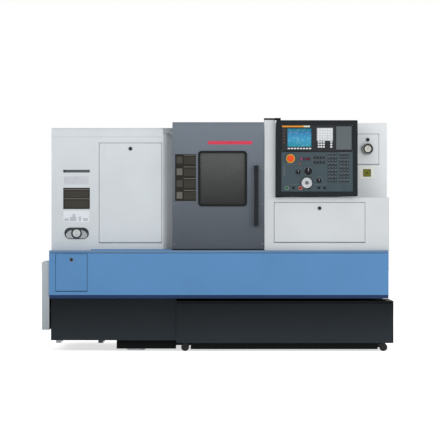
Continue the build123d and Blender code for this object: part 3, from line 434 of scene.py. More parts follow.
def picture_material(name, foot, head):
    """A lit screen: blue-green in bands between two heights, with dim rows that carry nothing readable."""
    if name in bpy.data.materials:
        return bpy.data.materials[name]
    material = finish_material(name, pebbled_grain, rgba("2f86a8"), 0.2, relief=0.0, depth=0.001, Grain=300.0,
                               Mottle=0.03)
    tree = material.node_tree
    shader = tree.nodes["Principled BSDF"]
    place = object_place(tree)
    height = height_of(tree, place)
    ramp = tree.nodes.new("ShaderNodeValToRGB")
    tree.links.new(map_range(tree, height, foot, head, 0.0, 1.0), ramp.inputs["Fac"])
    stops = ((0.0, "3192a4"), (0.12, "2d87a2"), (0.45, "3a90b2"), (0.70, "327ba8"), (0.80, "286690"),
             (0.90, "1f768e"), (1.0, "1c6880"))
    while len(ramp.color_ramp.elements) < len(stops):
        ramp.color_ramp.elements.new(0.5)
    for element, (position, code) in zip(ramp.color_ramp.elements, stops):
        element.position = position
        element.color = rgba(code)
    rows = math_node(tree, "SINE", product(tree, height, 900.0))
    blocks = noise_node(tree, place, 55.0, 2.0)
    dim = product(tree, map_range(tree, rows, 0.2, 0.8, 0.0, 1.0),
                  map_range(tree, blocks, 0.5, 0.56, 0.0, 0.22))
    picture = tinted(tree, dim, ramp.outputs["Color"], "d7eef5")
    tree.links.new(picture, shader.inputs["Base Color"])
    tree.links.new(picture, shader.inputs["Emission Color"])
    shader.inputs["Emission Strength"].default_value = 0.12
    return material


# Meshes

BURIED = 0.0002


def box_of(node):
    """The lowest and highest corner of a CAD node, as two vectors."""
    low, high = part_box(node)
    return Vector(low), Vector(high)


def middle_of(node):
    """The middle of a node's box across the front, and its front face."""
    low, high = box_of(node)
    return (low.x + high.x) / 2, (low.z + high.z) / 2, low.y


def finished(name, mesh, material, body):
    """Links a mesh as a piece that rides on a body and wears one material."""
    piece = bpy.data.objects.new(name, mesh)
    bpy.context.scene.collection.objects.link(piece)
    mesh.materials.clear()
    mesh.materials.append(material)
    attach(piece, body)
    return piece


def closed_mesh(name, build):
    """A mesh made by a function that fills a bmesh, with its normals outward."""
    bm = bmesh.new()
    build(bm)
    bmesh.ops.remove_doubles(bm, verts=bm.verts, dist=1e-6)
    bmesh.ops.recalc_face_normals(bm, faces=bm.faces)
    mesh = bpy.data.meshes.new(name)
    bm.to_mesh(mesh)
    bm.free()
    return mesh


def strip_of_quads(bm, a, b):
    """Quads between two rows of vertices that close on themselves."""
    for i in range(len(a)):
        j = (i + 1) % len(a)
        bm.faces.new((a[i], a[j], b[j], b[i]))


def loft(bm, rings):
    """Joins rings of equal count with quads and caps the ends."""
    rows = [[bm.verts.new(p) for p in ring] for ring in rings]
    for a, b in zip(rows, rows[1:]):
        strip_of_quads(bm, a, b)
    bm.faces.new(rows[0])
    bm.faces.new(rows[-1][::-1])


def circle(radius, steps):
    """The points of a circle. A radius of zero keeps a hair's width, so that faces stay whole."""
    r = max(radius, 1e-5)
    turns = [2 * math.pi * i / steps for i in range(steps)]
    return [(r * math.cos(turn), r * math.sin(turn)) for turn in turns]


def rounded_outline(x0, x1, z0, z1, radius, steps=5):
    """The (x, z) points of a rounded rectangle, anticlockwise seen from the front."""
    points = []
    corners = ((x1 - radius, z0 + radius, -90), (x1 - radius, z1 - radius, 0),
               (x0 + radius, z1 - radius, 90), (x0 + radius, z0 + radius, 180))
    for cx, cz, start in corners:
        for i in range(steps + 1):
            angle = math.radians(start + 90 * i / steps)
            points.append((cx + radius * math.cos(angle), cz + radius * math.sin(angle)))
    return points


def plate_rings(x0, x1, z0, z1, front, back, radius, edge):
    """The rings of a plate whose front edge is eased by a small chamfer."""
    def ring(inset, y):
        r = max(radius - inset, 0.0002)
        return [(x, y, z) for x, z in rounded_outline(x0 + inset, x1 - inset, z0 + inset, z1 - inset, r)]
    return [ring(edge, front), ring(0.0, front + edge), ring(0.0, back)]


def plate(name, x0, x1, z0, z1, front, back, material, body, radius=0.002, edge=0.0005):
    """A flat plate facing the front, with rounded corners."""
    mesh = closed_mesh(name, lambda bm: loft(bm, plate_rings(x0, x1, z0, z1, front, back, radius, edge)))
    return finished(name, mesh, material, body)


def plates(name, places, front, back, material, body, radius=0.001, edge=0.0003):
    """Several plates as one piece. places are (x0, x1, z0, z1)."""
    def build(bm):
        for x0, x1, z0, z1 in places:
            corner = min(radius, (z1 - z0) / 2.2, (x1 - x0) / 2.2)
            loft(bm, plate_rings(x0, x1, z0, z1, front, back, corner, edge))
    return finished(name, closed_mesh(name, build), material, body)


def fields(name, rows, face, body, radius=0.001, lift=0.0005):
    """Thin plates on a face, each with its own colour. rows are (x0, x1, z0, z1, colour, layer)."""
    colours = {}
    for x0, x1, z0, z1, code, layer in rows:
        colours.setdefault((code, layer), []).append((x0, x1, z0, z1))
    for (code, layer), group in colours.items():
        front = face - lift * layer
        back = face - lift * (layer - 1) if layer > 1 else face + BURIED
        film = vinyl(f"vinyl_{code}", code)
        plates(f"{name}_{code}_{layer}", group, front, back, film, body, radius, 0.00015)


def turned(name, x, z, profile, material, body, steps=40):
    """A round piece facing the front: profile is (radius, y) from its front middle to its back."""
    def build(bm):
        loft(bm, [[(x + u, y, z + v) for u, v in circle(radius, steps)] for radius, y in profile])
    return finished(name, closed_mesh(name, build), material, body)


def bar_along(bm, points, radius, steps=10):
    """A round bar through points that turn gently."""
    points = [Vector(p) for p in points]
    rows = []
    for before, point, after in zip(points[:1] + points, points, points[1:] + points[-1:]):
        ahead = (after - before).normalized()
        guide = Vector((0, 0, 1)) if abs(ahead.z) < 0.9 else Vector((1, 0, 0))
        side = ahead.cross(guide).normalized()
        other = ahead.cross(side)
        rows.append([point + u * side + v * other for u, v in circle(radius, steps)])
    loft(bm, rows)


def strip_along_x(name, section, x0, x1, material, body):
    """A strip with a constant (y, z) section along X."""
    mesh = closed_mesh(name, lambda bm: loft(bm, [[(x, y, z) for y, z in section] for x in (x0, x1)]))
    return finished(name, mesh, material, body)


# Geometry Nodes: what repeats


def new_tree(name, inputs):
    """A geometry tree, its input and its output sockets. inputs are (label, kind, default)."""
    tree = bpy.data.node_groups.new(name, "GeometryNodeTree")
    tree.interface.new_socket("Geometry", in_out="INPUT", socket_type="NodeSocketGeometry")
    for label, kind, default in inputs:
        socket = tree.interface.new_socket(label, in_out="INPUT", socket_type=f"NodeSocket{kind}")
        if default is not None:
            socket.default_value = default
    tree.interface.new_socket("Geometry", in_out="OUTPUT", socket_type="NodeSocketGeometry")
    return tree, tree.nodes.new("NodeGroupInput").outputs, tree.nodes.new("NodeGroupOutput").inputs


def wired(tree, kind, **sockets):
    """A node whose inputs are linked to outputs or set to values. Underscores stand for spaces."""
    node = tree.nodes.new(kind)
    for label, value in sockets.items():
        socket = node.inputs[label.replace("_", " ")]
        if isinstance(value, bpy.types.NodeSocket):
            tree.links.new(value, socket)
        else:
            socket.default_value = value
    return node


def vector_math(tree, operation, a, b):
    node = tree.nodes.new("ShaderNodeVectorMath")
    node.operation = operation
    tree.links.new(a, node.inputs[0])
    tree.links.new(b, node.inputs["Scale" if operation == "SCALE" else 1])
    return node.outputs[0]


def end_tree(tree, instances, material, result):
    real = wired(tree, "GeometryNodeRealizeInstances", Geometry=instances)
    dressed = wired(tree, "GeometryNodeSetMaterial", Geometry=real.outputs[0], Material=material)
    tree.links.new(dressed.outputs[0], result["Geometry"])


def set_on_points():
    """Sets a small piece on each point, its own Z turned to the point's facing."""
    tree, given, result = new_tree("set_on_points", [
        ("Piece", "Object", None), ("Size", "Float", 1.0), ("Material", "Material", None),
    ])
    facing = tree.nodes.new("GeometryNodeInputNamedAttribute")
    facing.data_type = "FLOAT_VECTOR"
    facing.inputs["Name"].default_value = "facing"
    turn = wired(tree, "FunctionNodeAlignEulerToVector", Vector=facing.outputs["Attribute"])
    turn.axis = "Z"
    piece = wired(tree, "GeometryNodeObjectInfo", Object=given["Piece"])
    placed = wired(tree, "GeometryNodeInstanceOnPoints", Points=given["Geometry"],
                   Instance=piece.outputs["Geometry"], Rotation=turn.outputs[0], Scale=given["Size"])
    end_tree(tree, placed.outputs[0], given["Material"], result)
    return tree


def marks_round_dial():
    """Scale marks round an arc that faces the front."""
    tree, given, result = new_tree("marks_round_dial", [
        ("Count", "Int", 12), ("Start", "Float", 0.0), ("Sweep", "Float", 5.0), ("Radius", "Float", 0.03),
        ("Length", "Float", 0.004), ("Width", "Float", 0.0008), ("Depth", "Float", 0.0004),
        ("Material", "Material", None),
    ])
    line = wired(tree, "GeometryNodeMeshLine", Count=given["Count"])
    index = tree.nodes.new("GeometryNodeInputIndex").outputs[0]
    share = math_node(tree, "DIVIDE", index, math_node(tree, "SUBTRACT", given["Count"], 1))
    angle = total(tree, given["Start"], product(tree, share, given["Sweep"]))
    across = product(tree, math_node(tree, "COSINE", angle), given["Radius"])
    up = product(tree, math_node(tree, "SINE", angle), given["Radius"])
    place = wired(tree, "ShaderNodeCombineXYZ", X=across, Z=up)
    moved = wired(tree, "GeometryNodeSetPosition", Geometry=line.outputs[0], Position=place.outputs[0])
    spin = wired(tree, "ShaderNodeCombineXYZ", Y=product(tree, angle, -1.0))
    size = wired(tree, "ShaderNodeCombineXYZ", X=given["Length"], Y=given["Depth"], Z=given["Width"])
    mark = wired(tree, "GeometryNodeMeshCube", Size=size.outputs[0])
    placed = wired(tree, "GeometryNodeInstanceOnPoints", Points=moved.outputs[0], Instance=mark.outputs[0],
                   Rotation=spin.outputs[0])
    end_tree(tree, placed.outputs[0], given["Material"], result)
    return tree


def rows_and_columns():
    """Sets copies of a small piece in rows and columns."""
    tree, given, result = new_tree("rows_and_columns", [
        ("Piece", "Object", None), ("Across", "Int", 2), ("Up", "Int", 2), ("Corner", "Vector", None),
        ("Step Across", "Vector", None), ("Step Up", "Vector", None), ("Material", "Material", None),
    ])
    line = wired(tree, "GeometryNodeMeshLine", Count=product(tree, given["Across"], given["Up"]))
    index = tree.nodes.new("GeometryNodeInputIndex").outputs[0]
    row = math_node(tree, "FLOOR", math_node(tree, "DIVIDE", total(tree, index, 0.5), given["Across"]))
    column = math_node(tree, "SUBTRACT", index, product(tree, row, given["Across"]))
    place = given["Corner"]
    for step, count in ((given["Step Across"], column), (given["Step Up"], row)):
        place = vector_math(tree, "ADD", place, vector_math(tree, "SCALE", step, count))
    moved = wired(tree, "GeometryNodeSetPosition", Geometry=line.outputs[0], Position=place)
    piece = wired(tree, "GeometryNodeObjectInfo", Object=given["Piece"])
    placed = wired(tree, "GeometryNodeInstanceOnPoints", Points=moved.outputs[0],
                   Instance=piece.outputs["Geometry"])
    end_tree(tree, placed.outputs[0], given["Material"], result)
    return tree


def grown(mesh, maker, values):
    """The plain mesh that a geometry tree makes from a mesh."""
    tree = group_named(maker)
    host = bpy.data.objects.new("host", mesh)
    bpy.context.scene.collection.objects.link(host)
    modifier = host.modifiers.new("repeat", "NODES")
    modifier.node_group = tree
    for item in tree.interface.items_tree:
        if item.item_type == "SOCKET" and item.in_out == "INPUT" and item.name in values:
            modifier[item.identifier] = values[item.name]
    graph = bpy.context.evaluated_depsgraph_get()
    result = bpy.data.meshes.new_from_object(host.evaluated_get(graph))
    bpy.data.objects.remove(host)
    return result


def grown_piece(name, mesh, maker, values, material, body, move=(0, 0, 0)):
    result = grown(mesh, maker, {**values, "Material": material})
    result.name = name
    for vertex in result.vertices:
        vertex.co += Vector(move)
    return finished(name, result, material, body)


def seed_piece(build):
    """A small object that a tree copies; it is removed once the copies are made."""
    piece = bpy.data.objects.new("seed", closed_mesh("seed", build))
    bpy.context.scene.collection.objects.link(piece)
    return piece


def screw_build(radius, height):
    """Makes a low round head with a socket, on its own Z."""
    socket = radius * 0.5
    profile = [(socket * 0.98, height * 0.3), (socket, height), (radius * 0.86, height),
               (radius, height * 0.75), (radius, 0.0)]
    return lambda bm: loft(bm, [[(u, v, rise) for u, v in circle(r, 18)] for r, rise in profile])


def screws(name, places, facing, radius, body, material=None, height=None):
    """Screw heads on a list of places, all turned the same way."""
    seed = seed_piece(screw_build(radius, height or radius * 0.5))
    points = bpy.data.meshes.new("points")
    points.from_pydata([tuple(p) for p in places], [], [])
    for item in points.attributes.new("facing", "FLOAT_VECTOR", "POINT").data:
        item.vector = facing
    grown_piece(name, points, set_on_points, {"Piece": seed}, material or screw_steel(), body)
    bpy.data.objects.remove(seed)


def array_values(seed, across, up, corner, step_x, step_z):
    return {"Piece": seed, "Across": across, "Up": up, "Corner": corner, "Step Across": (step_x, 0.0, 0.0),
            "Step Up": (0.0, 0.0, step_z)}


def caps(name, size, corner, counts, steps, face, code, body, proud=0.0006, radius=0.002):
    """Key caps in rows and columns on a face. counts and steps are (across, up)."""
    rings = plate_rings(0, size[0], 0, size[1], -proud, BURIED, radius, proud * 0.6)
    seed = seed_piece(lambda bm: loft(bm, rings))
    values = array_values(seed, *counts, (corner[0], face, corner[1]), *steps)
    material = moulded(f"cap_{code}", code, 0.42, 1200.0, 0.02, 0.05)
    grown_piece(name, bpy.data.meshes.new("points"), rows_and_columns, values, material, body)
    bpy.data.objects.remove(seed)


def dial_marks(name, middle, face, radius, length, count, start, sweep, body="control_panel", code="a9b0b4",
               width=0.0012):
    """Marks round a dial's middle, from a start angle over a sweep, in degrees."""
    values = {"Count": count, "Start": math.radians(start), "Sweep": math.radians(sweep), "Radius": radius,
              "Length": length, "Width": width, "Depth": 0.0004}
    film = vinyl(f"marks_{code}", code)
    move = (middle[0], face - 0.0001, middle[1])
    grown_piece(name, bpy.data.meshes.new("points"), marks_round_dial, values, film, body, move)


# Pieces

FRONT, TOP, LEFT, RIGHT = (0, -1, 0), (0, 0, 1), (-1, 0, 0), (1, 0, 0)
# These nodes wear a lighter paint than their slot's, painted light for their shaded place behind the control
# panel.
END_CABINET_NODES = ("upper_right_cabinet", "gauge_door")


class LATHE_OT_finishes(bpy.types.Operator):
    """Gives every CAD node the finish that its record slot names; the end cabinet nodes get a lighter paint
    instead, painted light
    """

    bl_idname = "lathe.finishes"
    bl_label = "Finishes of the solids"

    def execute(self, context):
        for row in frame["record"]["subparts"]:
            node = frame["nodes"][row["node"]]
            if row["node"] in END_CABINET_NODES:
                material = painted("end_cabinet_finish", paints().end_cabinet)
            else:
                material = finish_of(row["material_slot"])
            if not node.material_slots:
                node.data.materials.append(material)
            for material_slot in node.material_slots:
                material_slot.material = material
        return {"FINISHED"}


def glass_spacer(bm, low, high, front, back):
    """A thin frame inside the window gasket."""
    inset = 0.017
    inner = inset + 0.006
    outside = rounded_outline(low.x + inset, high.x - inset, low.z + inset, high.z - inset, 0.018)
    hole = rounded_outline(low.x + inner, high.x - inner, low.z + inner, high.z - inner, 0.014)
    rings = ((outside, front), (hole, front), (hole, back), (outside, back))
    rows = [[bm.verts.new((x, y, z)) for x, z in outline] for outline, y in rings]
    for a, b in zip(rows, rows[1:] + rows[:1]):
        strip_of_quads(bm, a, b)


class LATHE_OT_door_trim(bpy.types.Operator):
    """Plates, stripe, glass spacer, wiper and screws on the sliding door"""

    bl_idname = "lathe.door_trim"
    bl_label = "Door trim"

    def execute(self, context):
        low, high = box_of("sliding_door")
        face = low.y
        left = low.x + 0.020
        right = left + 0.158
        split = left + 0.065
        top = low.z + 0.726
        row_count = 4
        pitch = 0.0885
        rows = [(left, right, top - row_count * pitch, top, "262521", 1)]
        for i in range(row_count):
            head = top - i * pitch
            square = ("45443f", "66655e")[i % 2]
            rows.append((split, right - 0.003, head - 0.010, head - 0.006, "77756c", 2))
            rows.append((left + 0.012, split - 0.010, head - 0.070, head - 0.020, square, 2))
            rows.append((split + 0.002, right - 0.004, head - 0.076, head - 0.020, "38362f", 2))
        fields("door_plate", rows, face, "door")
        stripe = (low.x + 0.266, low.x + 0.603, high.z - 0.168, high.z - 0.143, "cf3f58", 1)
        fields("door_stripe", [stripe], face, "door", radius=0.012)
        gasket = box_of("window_gasket")
        spacer = closed_mesh("glass_spacer", lambda bm: glass_spacer(bm, *gasket, face + 0.012, face + 0.020))
        finished("glass_spacer", spacer, moulded("glass_spacer", "4b4f52"), "door")
        x, _, grip_face = middle_of("door_handle")
        grip_low, grip_high = box_of("door_handle")
        ends = [(x, grip_face, z) for z in (grip_low.z + 0.018, grip_high.z - 0.018)]
        screws("handle_screws", ends, FRONT, 0.006, "door", screw_black(), 0.002)
        heights = (low.z + 0.05, low.z + 0.35, high.z - 0.35, high.z - 0.05)
        edges = [(x, face, z) for x in (low.x + 0.012, high.x - 0.012) for z in heights]
        screws("door_edge_screws", edges, FRONT, trim().cover_screw, "door")
        plate("door_wiper", low.x + 0.003, high.x - 0.003, low.z - 0.003, low.z + 0.012, face - 0.0015,
              face + 0.004, moulded("wiper_rubber", "1c1f21", 0.6, 700.0, 0.1), "door", 0.001)
        return {"FINISHED"}


def cabinet_plates(face, left, right, foot):
    """The plain plates above the main switch, at heights over the cabinet's foot."""
    rows = [
        (left, right, 0.593, 0.614, "55575b", 1),
        (left + 0.002, left + 0.015, 0.595, 0.612, "2b2c2e", 2),
        (left + 0.006, right - 0.010, 0.504, 0.564, "c3c6cd", 1),
        (left, right, 0.317, 0.478, "2c2a27", 1),
        (left + 0.004, right - 0.004, 0.463, 0.466, "8a877d", 2),
        (left + 0.004, right - 0.004, 0.393, 0.396, "8a877d", 2),
        (left + 0.010, right - 0.010, 0.328, 0.383, "3d3a34", 2),
        (left + 0.010, right - 0.010, 0.404, 0.453, "3d3a34", 2),
        (left + 0.002, right - 0.004, 0.219, 0.302, "dde1e6", 1),
    ]
    blocks = ((0.010, 0.030, 0.020), (0.050, 0.050, 0.030), (0.115, 0.020, 0.034), (0.150, 0.036, 0.022),
              (0.070, 0.022, 0.052))
    for i, (start, width, rise) in enumerate(blocks):
        rows.append((left + start, left + start + width, 0.227, 0.227 + rise, "b9bec5", 2 + i % 2))
    rows = [(x0, x1, foot + z0, foot + z1, code, layer) for x0, x1, z0, z1, code, layer in rows]
    fields("cabinet_plate", rows, face, "machine")


def main_switch_face(x, z, front):
    """Painted shadow arch, pale field, ring, grip and dial of the main switch."""
    plate_low, plate_high = box_of("main_switch_plate")
    plate_front = plate_low.y
    half_width = (plate_high.x - plate_low.x) / 2 - 0.012
    arch_height = 0.034
    turns = [math.pi * i / 24 for i in range(25)]
    arch = [(x + half_width * math.cos(turn), plate_front - 0.001, z + arch_height * math.sin(turn))
            for turn in turns]
    # Painted shadow: a dark bar along the top of the plate stands in for the shade under the rim of the
    # switch recess.
    finished("switch_arch", closed_mesh("switch_arch", lambda bm: bar_along(bm, arch, 0.006)),
             moulded("arch_plastic", "3c4044", 0.4), "machine")
    plate("switch_field", x - 0.081, x + 0.081, z - 0.038, z + 0.024, plate_front - 0.0006,
          plate_front + BURIED, moulded("field_plastic", "a9b0b3", 0.45), "machine", 0.028)
    ring_profile = [(0.040, front + 0.0036), (0.0405, front + 0.001), (0.036, front - 0.0006),
                    (0.030, front + 0.001), (0.029, front + 0.0042)]
    turned("switch_ring", x, z, ring_profile, moulded("ring_plastic", "33373b", 0.38), "main_switch")
    plate("switch_grip", x - 0.007, x + 0.007, z - 0.022, z + 0.022, front - 0.004, front + 0.001,
          moulded("grip_plastic", "b9bdc0", 0.35), "main_switch", 0.006, 0.0012)
    dial_profile = [(0.0, front - 0.0012), (0.024, front - 0.0010), (0.0285, front + 0.0004),
                    (0.0288, front + 0.0040)]
    turned("switch_dial", x, z, dial_profile, moulded("dial_plastic", "c6cacb", 0.4), "main_switch")


class LATHE_OT_left_cabinet_trim(bpy.types.Operator):
    """Plates, main switch face, seam, rail end and screws on the left cabinet"""

    bl_idname = "lathe.left_cabinet_trim"
    bl_label = "Left cabinet trim"

    def execute(self, context):
        low, high = box_of("left_cabinet")
        rail_low, rail_high = box_of("door_top_rail")
        face = low.y
        x, z, knob_front = middle_of("main_switch_knob")
        cabinet_plates(face, x - 0.101, x + 0.100, low.z)
        main_switch_face(x, z, knob_front)
        seam = (low.x + 0.001, high.x - 0.075, high.z - 0.0285, high.z - 0.0265)
        shadow = vinyl("seam_shadow", "a9afb5", 0.6)
        plates("cabinet_seam", [seam], face - 0.0003, face + 0.0003, shadow, "machine")
        # Painted shade: the rail's end above the cabinet's bevel is grey, matching the shaded bevel below it.
        paint = painted("rail_paint", rgba("9ba0a4"))
        plate("rail_end", high.x - 0.072, high.x - 0.001, high.z + 0.001, rail_high.z - 0.002,
              rail_low.y - 0.0008, rail_low.y + BURIED, paint, "machine", 0.001)
        left_heights = (low.z + 0.06, low.z + 0.298, low.z + 0.598, high.z - 0.05)
        rim = [(low.x + 0.025, face, height) for height in left_heights]
        rim += [(high.x - 0.095, face, height) for height in (low.z + 0.03, high.z - 0.04)]
        screws("cabinet_screws", rim, FRONT, trim().cover_screw, "machine", screw_pale())
        roof = [(low.x + 0.04 + i * 0.19, -0.30, rail_high.z - 0.0295) for i in range(5)]
        screws("roof_screws", roof, TOP, 0.006, "machine")
        return {"FINISHED"}


class LATHE_OT_side_trunk(bpy.types.Operator):
    """The narrow box on the left side wall, and the two hoses from it to the hydraulic unit"""

    bl_idname = "lathe.side_trunk"
    bl_label = "Side box and hoses"

    def execute(self, context):
        sizes = trim()
        wall = box_of("base_cover")[0]
        unit = box_of("hydraulic_unit")[0]
        left = unit.x + 0.0015
        right = wall.x - 0.0003
        front = wall.y + 0.010
        back = front + sizes.box_depth
        foot = sizes.box_foot
        head = sizes.box_head

        def section(inset, y):
            """The box's outline with its sloped upper edge, drawn in by an inset."""
            return [(left + inset, y, foot + inset), (right, y, foot + inset), (right, y, head - inset),
                    (left + 0.016, y, head - inset), (left + inset, y, head - 0.010 - inset)]

        ease = 0.003
        rings = [section(ease, front), section(0.0, front + ease), section(0.0, back - ease),
                 section(ease, back)]
        # Painted light: the box's paint is darker at its foot and lighter at its head.
        pale = painted("trunk_paint", rgba("a9b0b5"), 0.45, 0.12, Foot=foot, Head=head, Foot_Value=0.9,
                       Head_Value=1.1)
        finished("side_trunk", closed_mesh("side_trunk", lambda bm: loft(bm, rings)), pale, "machine")
        black = moulded("hose_rubber", "1b1d1f", 0.55, 500.0, 0.1)
        run = unit.y - back + ease
        sag = 0.045
        steps = 24
        for i, (start, end) in enumerate(((0.30, 0.34), (0.36, 0.42))):
            path = []
            for part in (step / steps for step in range(steps + 1)):
                rise = (end - start) * (1 - math.cos(math.pi * part)) / 2
                drop = sag * math.sin(math.pi * part) ** 2
                path.append(((left + right) / 2, back - ease + run * part, start + rise - drop))
            hose = closed_mesh("side_hose", lambda bm: bar_along(bm, path, sizes.hose, 14))
            finished(f"side_hose_{i + 1}", hose, black, "machine")
        places = [(left, y, z) for y in (front + 0.03, back - 0.03) for z in (foot + 0.03, head - 0.04)]
        screws("trunk_screws", places, LEFT, sizes.side_screw, "machine", height=0.001)
        return {"FINISHED"}


SHADOW_GAP = 0.0003


class LATHE_OT_screen_unit(bpy.types.Operator):
    """Screen, soft keys, keypad and blank plate on the control panel"""

    bl_idname = "lathe.screen_unit"
    bl_label = "Screen unit"

    def execute(self, context):
        body = "control_panel"
        low, high = box_of("display_unit")
        left = low.x - SHADOW_GAP
        foot = low.z - SHADOW_GAP
        face = low.y + 0.004
        picture = picture_material("screen_picture", low.z + 0.033, low.z + 0.172)
        plate("screen_glass", left + 0.046, left + 0.226, foot + 0.034, foot + 0.171, face + 0.0007,
              face + 0.002, picture, body, 0.002)
        header = [(left + 0.006, left + 0.168, foot + 0.180, foot + 0.192, "d9902f", 1),
                  (left + 0.168, left + 0.215, foot + 0.180, foot + 0.192, "d3d6c4", 1)]
        fields("screen_header", header, face - 0.0025, body, 0.001)
        caps("side_keys", (0.016, 0.012), (left + 0.012, foot + 0.058), (1, 5), (0.0, 0.024), face - 0.0025,
             "4d403f", body)
        soft_pitch = 0.182 / 8
        caps("soft_keys", (soft_pitch - 0.006, 0.010), (left + 0.048, foot + 0.015), (8, 1),
             (soft_pitch, 0.0), low.y, "d9dde1", body, radius=0.001)
        pad = left + 0.268
        pad_steps = (0.0188, 0.0184)
        pad_face = face - 0.003
        caps("keypad_upper", (0.0168, 0.0160), (pad + 0.0048, foot + 0.0808), (6, 5), pad_steps, pad_face,
             "dcdfe1", body, radius=0.001)
        lower_cap = (0.0150, 0.0130)
        caps("keypad_lower", lower_cap, (pad + 0.0058, foot + 0.0260), (3, 3), pad_steps, pad_face, "d6d9db",
             body, radius=0.004)
        caps("keypad_enter", lower_cap, (pad + 0.0998, foot + 0.0260), (1, 3), pad_steps, pad_face, "d6d9db",
             body, radius=0.004)
        keypad_frame = (pad - 0.001, pad + 0.120, foot + 0.077, foot + 0.175)
        plates("keypad_frame", [keypad_frame], face - 0.0017, face - 0.0012,
               vinyl("vinyl_keypad", "b9bcc0"), body)
        blank = (pad + 0.145, high.x - 0.010, foot + 0.012, high.z - 0.012)
        plates("blank_plate_skin", [blank], face - 0.0019, face - 0.0014,
               painted("blank_plate", rgba("5d6468"), 0.45), body, 0.002)
        corners = [(x, face - 0.0015, z) for x in (left + 0.003, high.x - 0.003)
                   for z in (low.z + 0.003, high.z - 0.003)]
        screws("unit_screws", corners, FRONT, 0.0022, body, height=0.0008)
        seam = box_of("operator_plate")[0].z + 0.2985
        plate("unit_divider", left + 0.002, high.x - 0.002, seam, seam + 0.004, face - 0.001, face + 0.004,
              moulded("divider", "111315"), body, 0.0015)
        return {"FINISHED"}


def emergency_stop(x, z, crown_front, face):
    """Yellow ring and dark collar on the plate, and the red crown on the button, which has a faint painted
    glow.
    """
    ring_profile = [(0.0215, face - 0.0016), (0.0325, face - 0.0016), (0.0335, face - 0.0008),
                    (0.0335, face + BURIED)]
    turned("stop_plate", x, z, ring_profile, vinyl("stop_yellow", "d8b13c"), "control_panel", 48)
    collar_profile = [(0.0125, face - 0.007), (0.016, face - 0.007), (0.0175, face - 0.0055),
                      (0.0175, face - 0.0014)]
    turned("stop_collar", x, z, collar_profile, moulded("stop_collar", "1a1b1c", 0.4), "control_panel")
    crown = trim().crown
    crown_profile = [(0.0, -0.0006), (crown - 0.0138, -0.0004), (crown - 0.0058, 0.0010),
                     (crown - 0.0013, 0.0036), (crown, 0.0066), (crown - 0.0008, 0.0086),
                     (crown - 0.0056, 0.0096)]
    # Painted glow: the crown's material gives off a faint light of its own colour.
    turned("stop_crown", x, z, [(radius, crown_front + depth) for radius, depth in crown_profile],
           glossy("stop_crown", "e0502a", 0.34, 0.06), "emergency_stop", 56)


def flat_ring(name, middle, inner, outer, face, lift, material, steps):
    """A thin scale ring that stands off the operator plate by a lift."""
    profile = [(inner, face - lift), (outer, face - lift), (outer + 0.0005, face + BURIED)]
    turned(name, *middle, profile, material, "control_panel", steps)


def dials(face):
    """Pointers, scale rings and marks of the selectors, the feed dial and the handwheel."""
    middles = {name: middle_of(name) for name in ("mode_selector", "speed_selector", "feed_dial")}
    for name, (x, z, front) in middles.items():
        plate(f"{name}_line", x - 0.0012, x + 0.0012, z - 0.002, box_of(name)[1].z - 0.003, front - 0.0005,
              front + BURIED, vinyl("pointer_white", "d6d9db"), name, 0.0008, 0.0002)
    dial_marks("mode_marks", middles["mode_selector"], face, 0.031, 0.006, 7, -15, 210)
    flat_ring("feed_ring", middles["feed_dial"][:2], 0.024, 0.036, face, 0.0005,
              vinyl("feed_scale", "5e676c"), 48)
    dial_marks("feed_marks", middles["feed_dial"], face - 0.0005, 0.031, 0.006, 21, -60, 300, width=0.0008,
               code="c4c9cc")
    dial_marks("speed_marks", middles["speed_selector"], face, 0.027, 0.005, 8, 0, 180)
    low, high = box_of("handwheel")
    middle = (low.x + (high.z - low.z) / 2, (low.z + high.z) / 2)
    flat_ring("handwheel_scale", middle, 0.0405, 0.048, face, 0.0006, vinyl("wheel_scale", "31363a"), 56)
    dial_marks("handwheel_marks", middle, face - 0.0006, 0.0445, 0.004, 25, 0, 345.6, width=0.0007,
               code="c4c9cc")
    rim = face - 0.020
    hub_profile = [(0.0, rim + 0.0016), (0.010, rim + 0.0018), (0.0135, rim + 0.003), (0.0145, rim + 0.0041)]
    turned("handwheel_hub", *middle, hub_profile, moulded("hub_plastic", "6a6e72", 0.35), "handwheel", 40)


def lamps(left, top, face):
    """Three square lamps and a round one."""
    squares = ((0.142, 0.158, "7a3560"), (0.162, 0.178, "3d2c3a"), (0.182, 0.217, "4c1f2c"))
    for i, (x0, x1, code) in enumerate(squares):
        plate(f"lamp_{i + 1}", left + x0, left + x1, top - 0.0627, top - 0.0427, face - 0.003, face - 0.0019,
              lamp_lens(f"lamp_{code}", code, 0.2, 0.25), "control_panel", 0.001)
    lens_profile = [(0.0, face - 0.005), (0.003, face - 0.0046), (0.0050, face - 0.003),
                    (0.0056, face + BURIED)]
    turned("red_lamp", left + 0.138, top - 0.089, lens_profile, lamp_lens("red_lamp", "a8404a", 0.25, 0.2),
           "control_panel", 24)


def membrane_keys(left, foot, face):
    """Two fields of nine rows of three keys, with a light mark on each and bars between the rows."""
    pitch = trim().key_pitch
    bars = []
    for side, start, bar_start, bar_end, bar_rows in (("left", 0.347, 0.345, 0.425, (2, 4, 6, 8)),
                                                      ("right", 0.436, 0.434, 0.512, (1, 3, 5, 7, 9))):
        first = left + start
        caps(f"keys_{side}_dark", (0.019, 0.019), (first + 0.002, foot + 0.069), (3, 9), (pitch, pitch),
             face - 0.0025, "33393e", "control_panel", 0.0008)
        caps(f"keys_{side}_marks", (0.009, 0.003), (first + 0.007, foot + 0.083), (3, 9), (pitch, pitch),
             face - 0.0033, "8d9599", "control_panel", 0.0002, 0.001)
        for row in bar_rows:
            z = foot + 0.066 + pitch * row
            bars.append((left + bar_start, left + bar_end, z, z + 0.002, "7b8286", 1))
    return bars


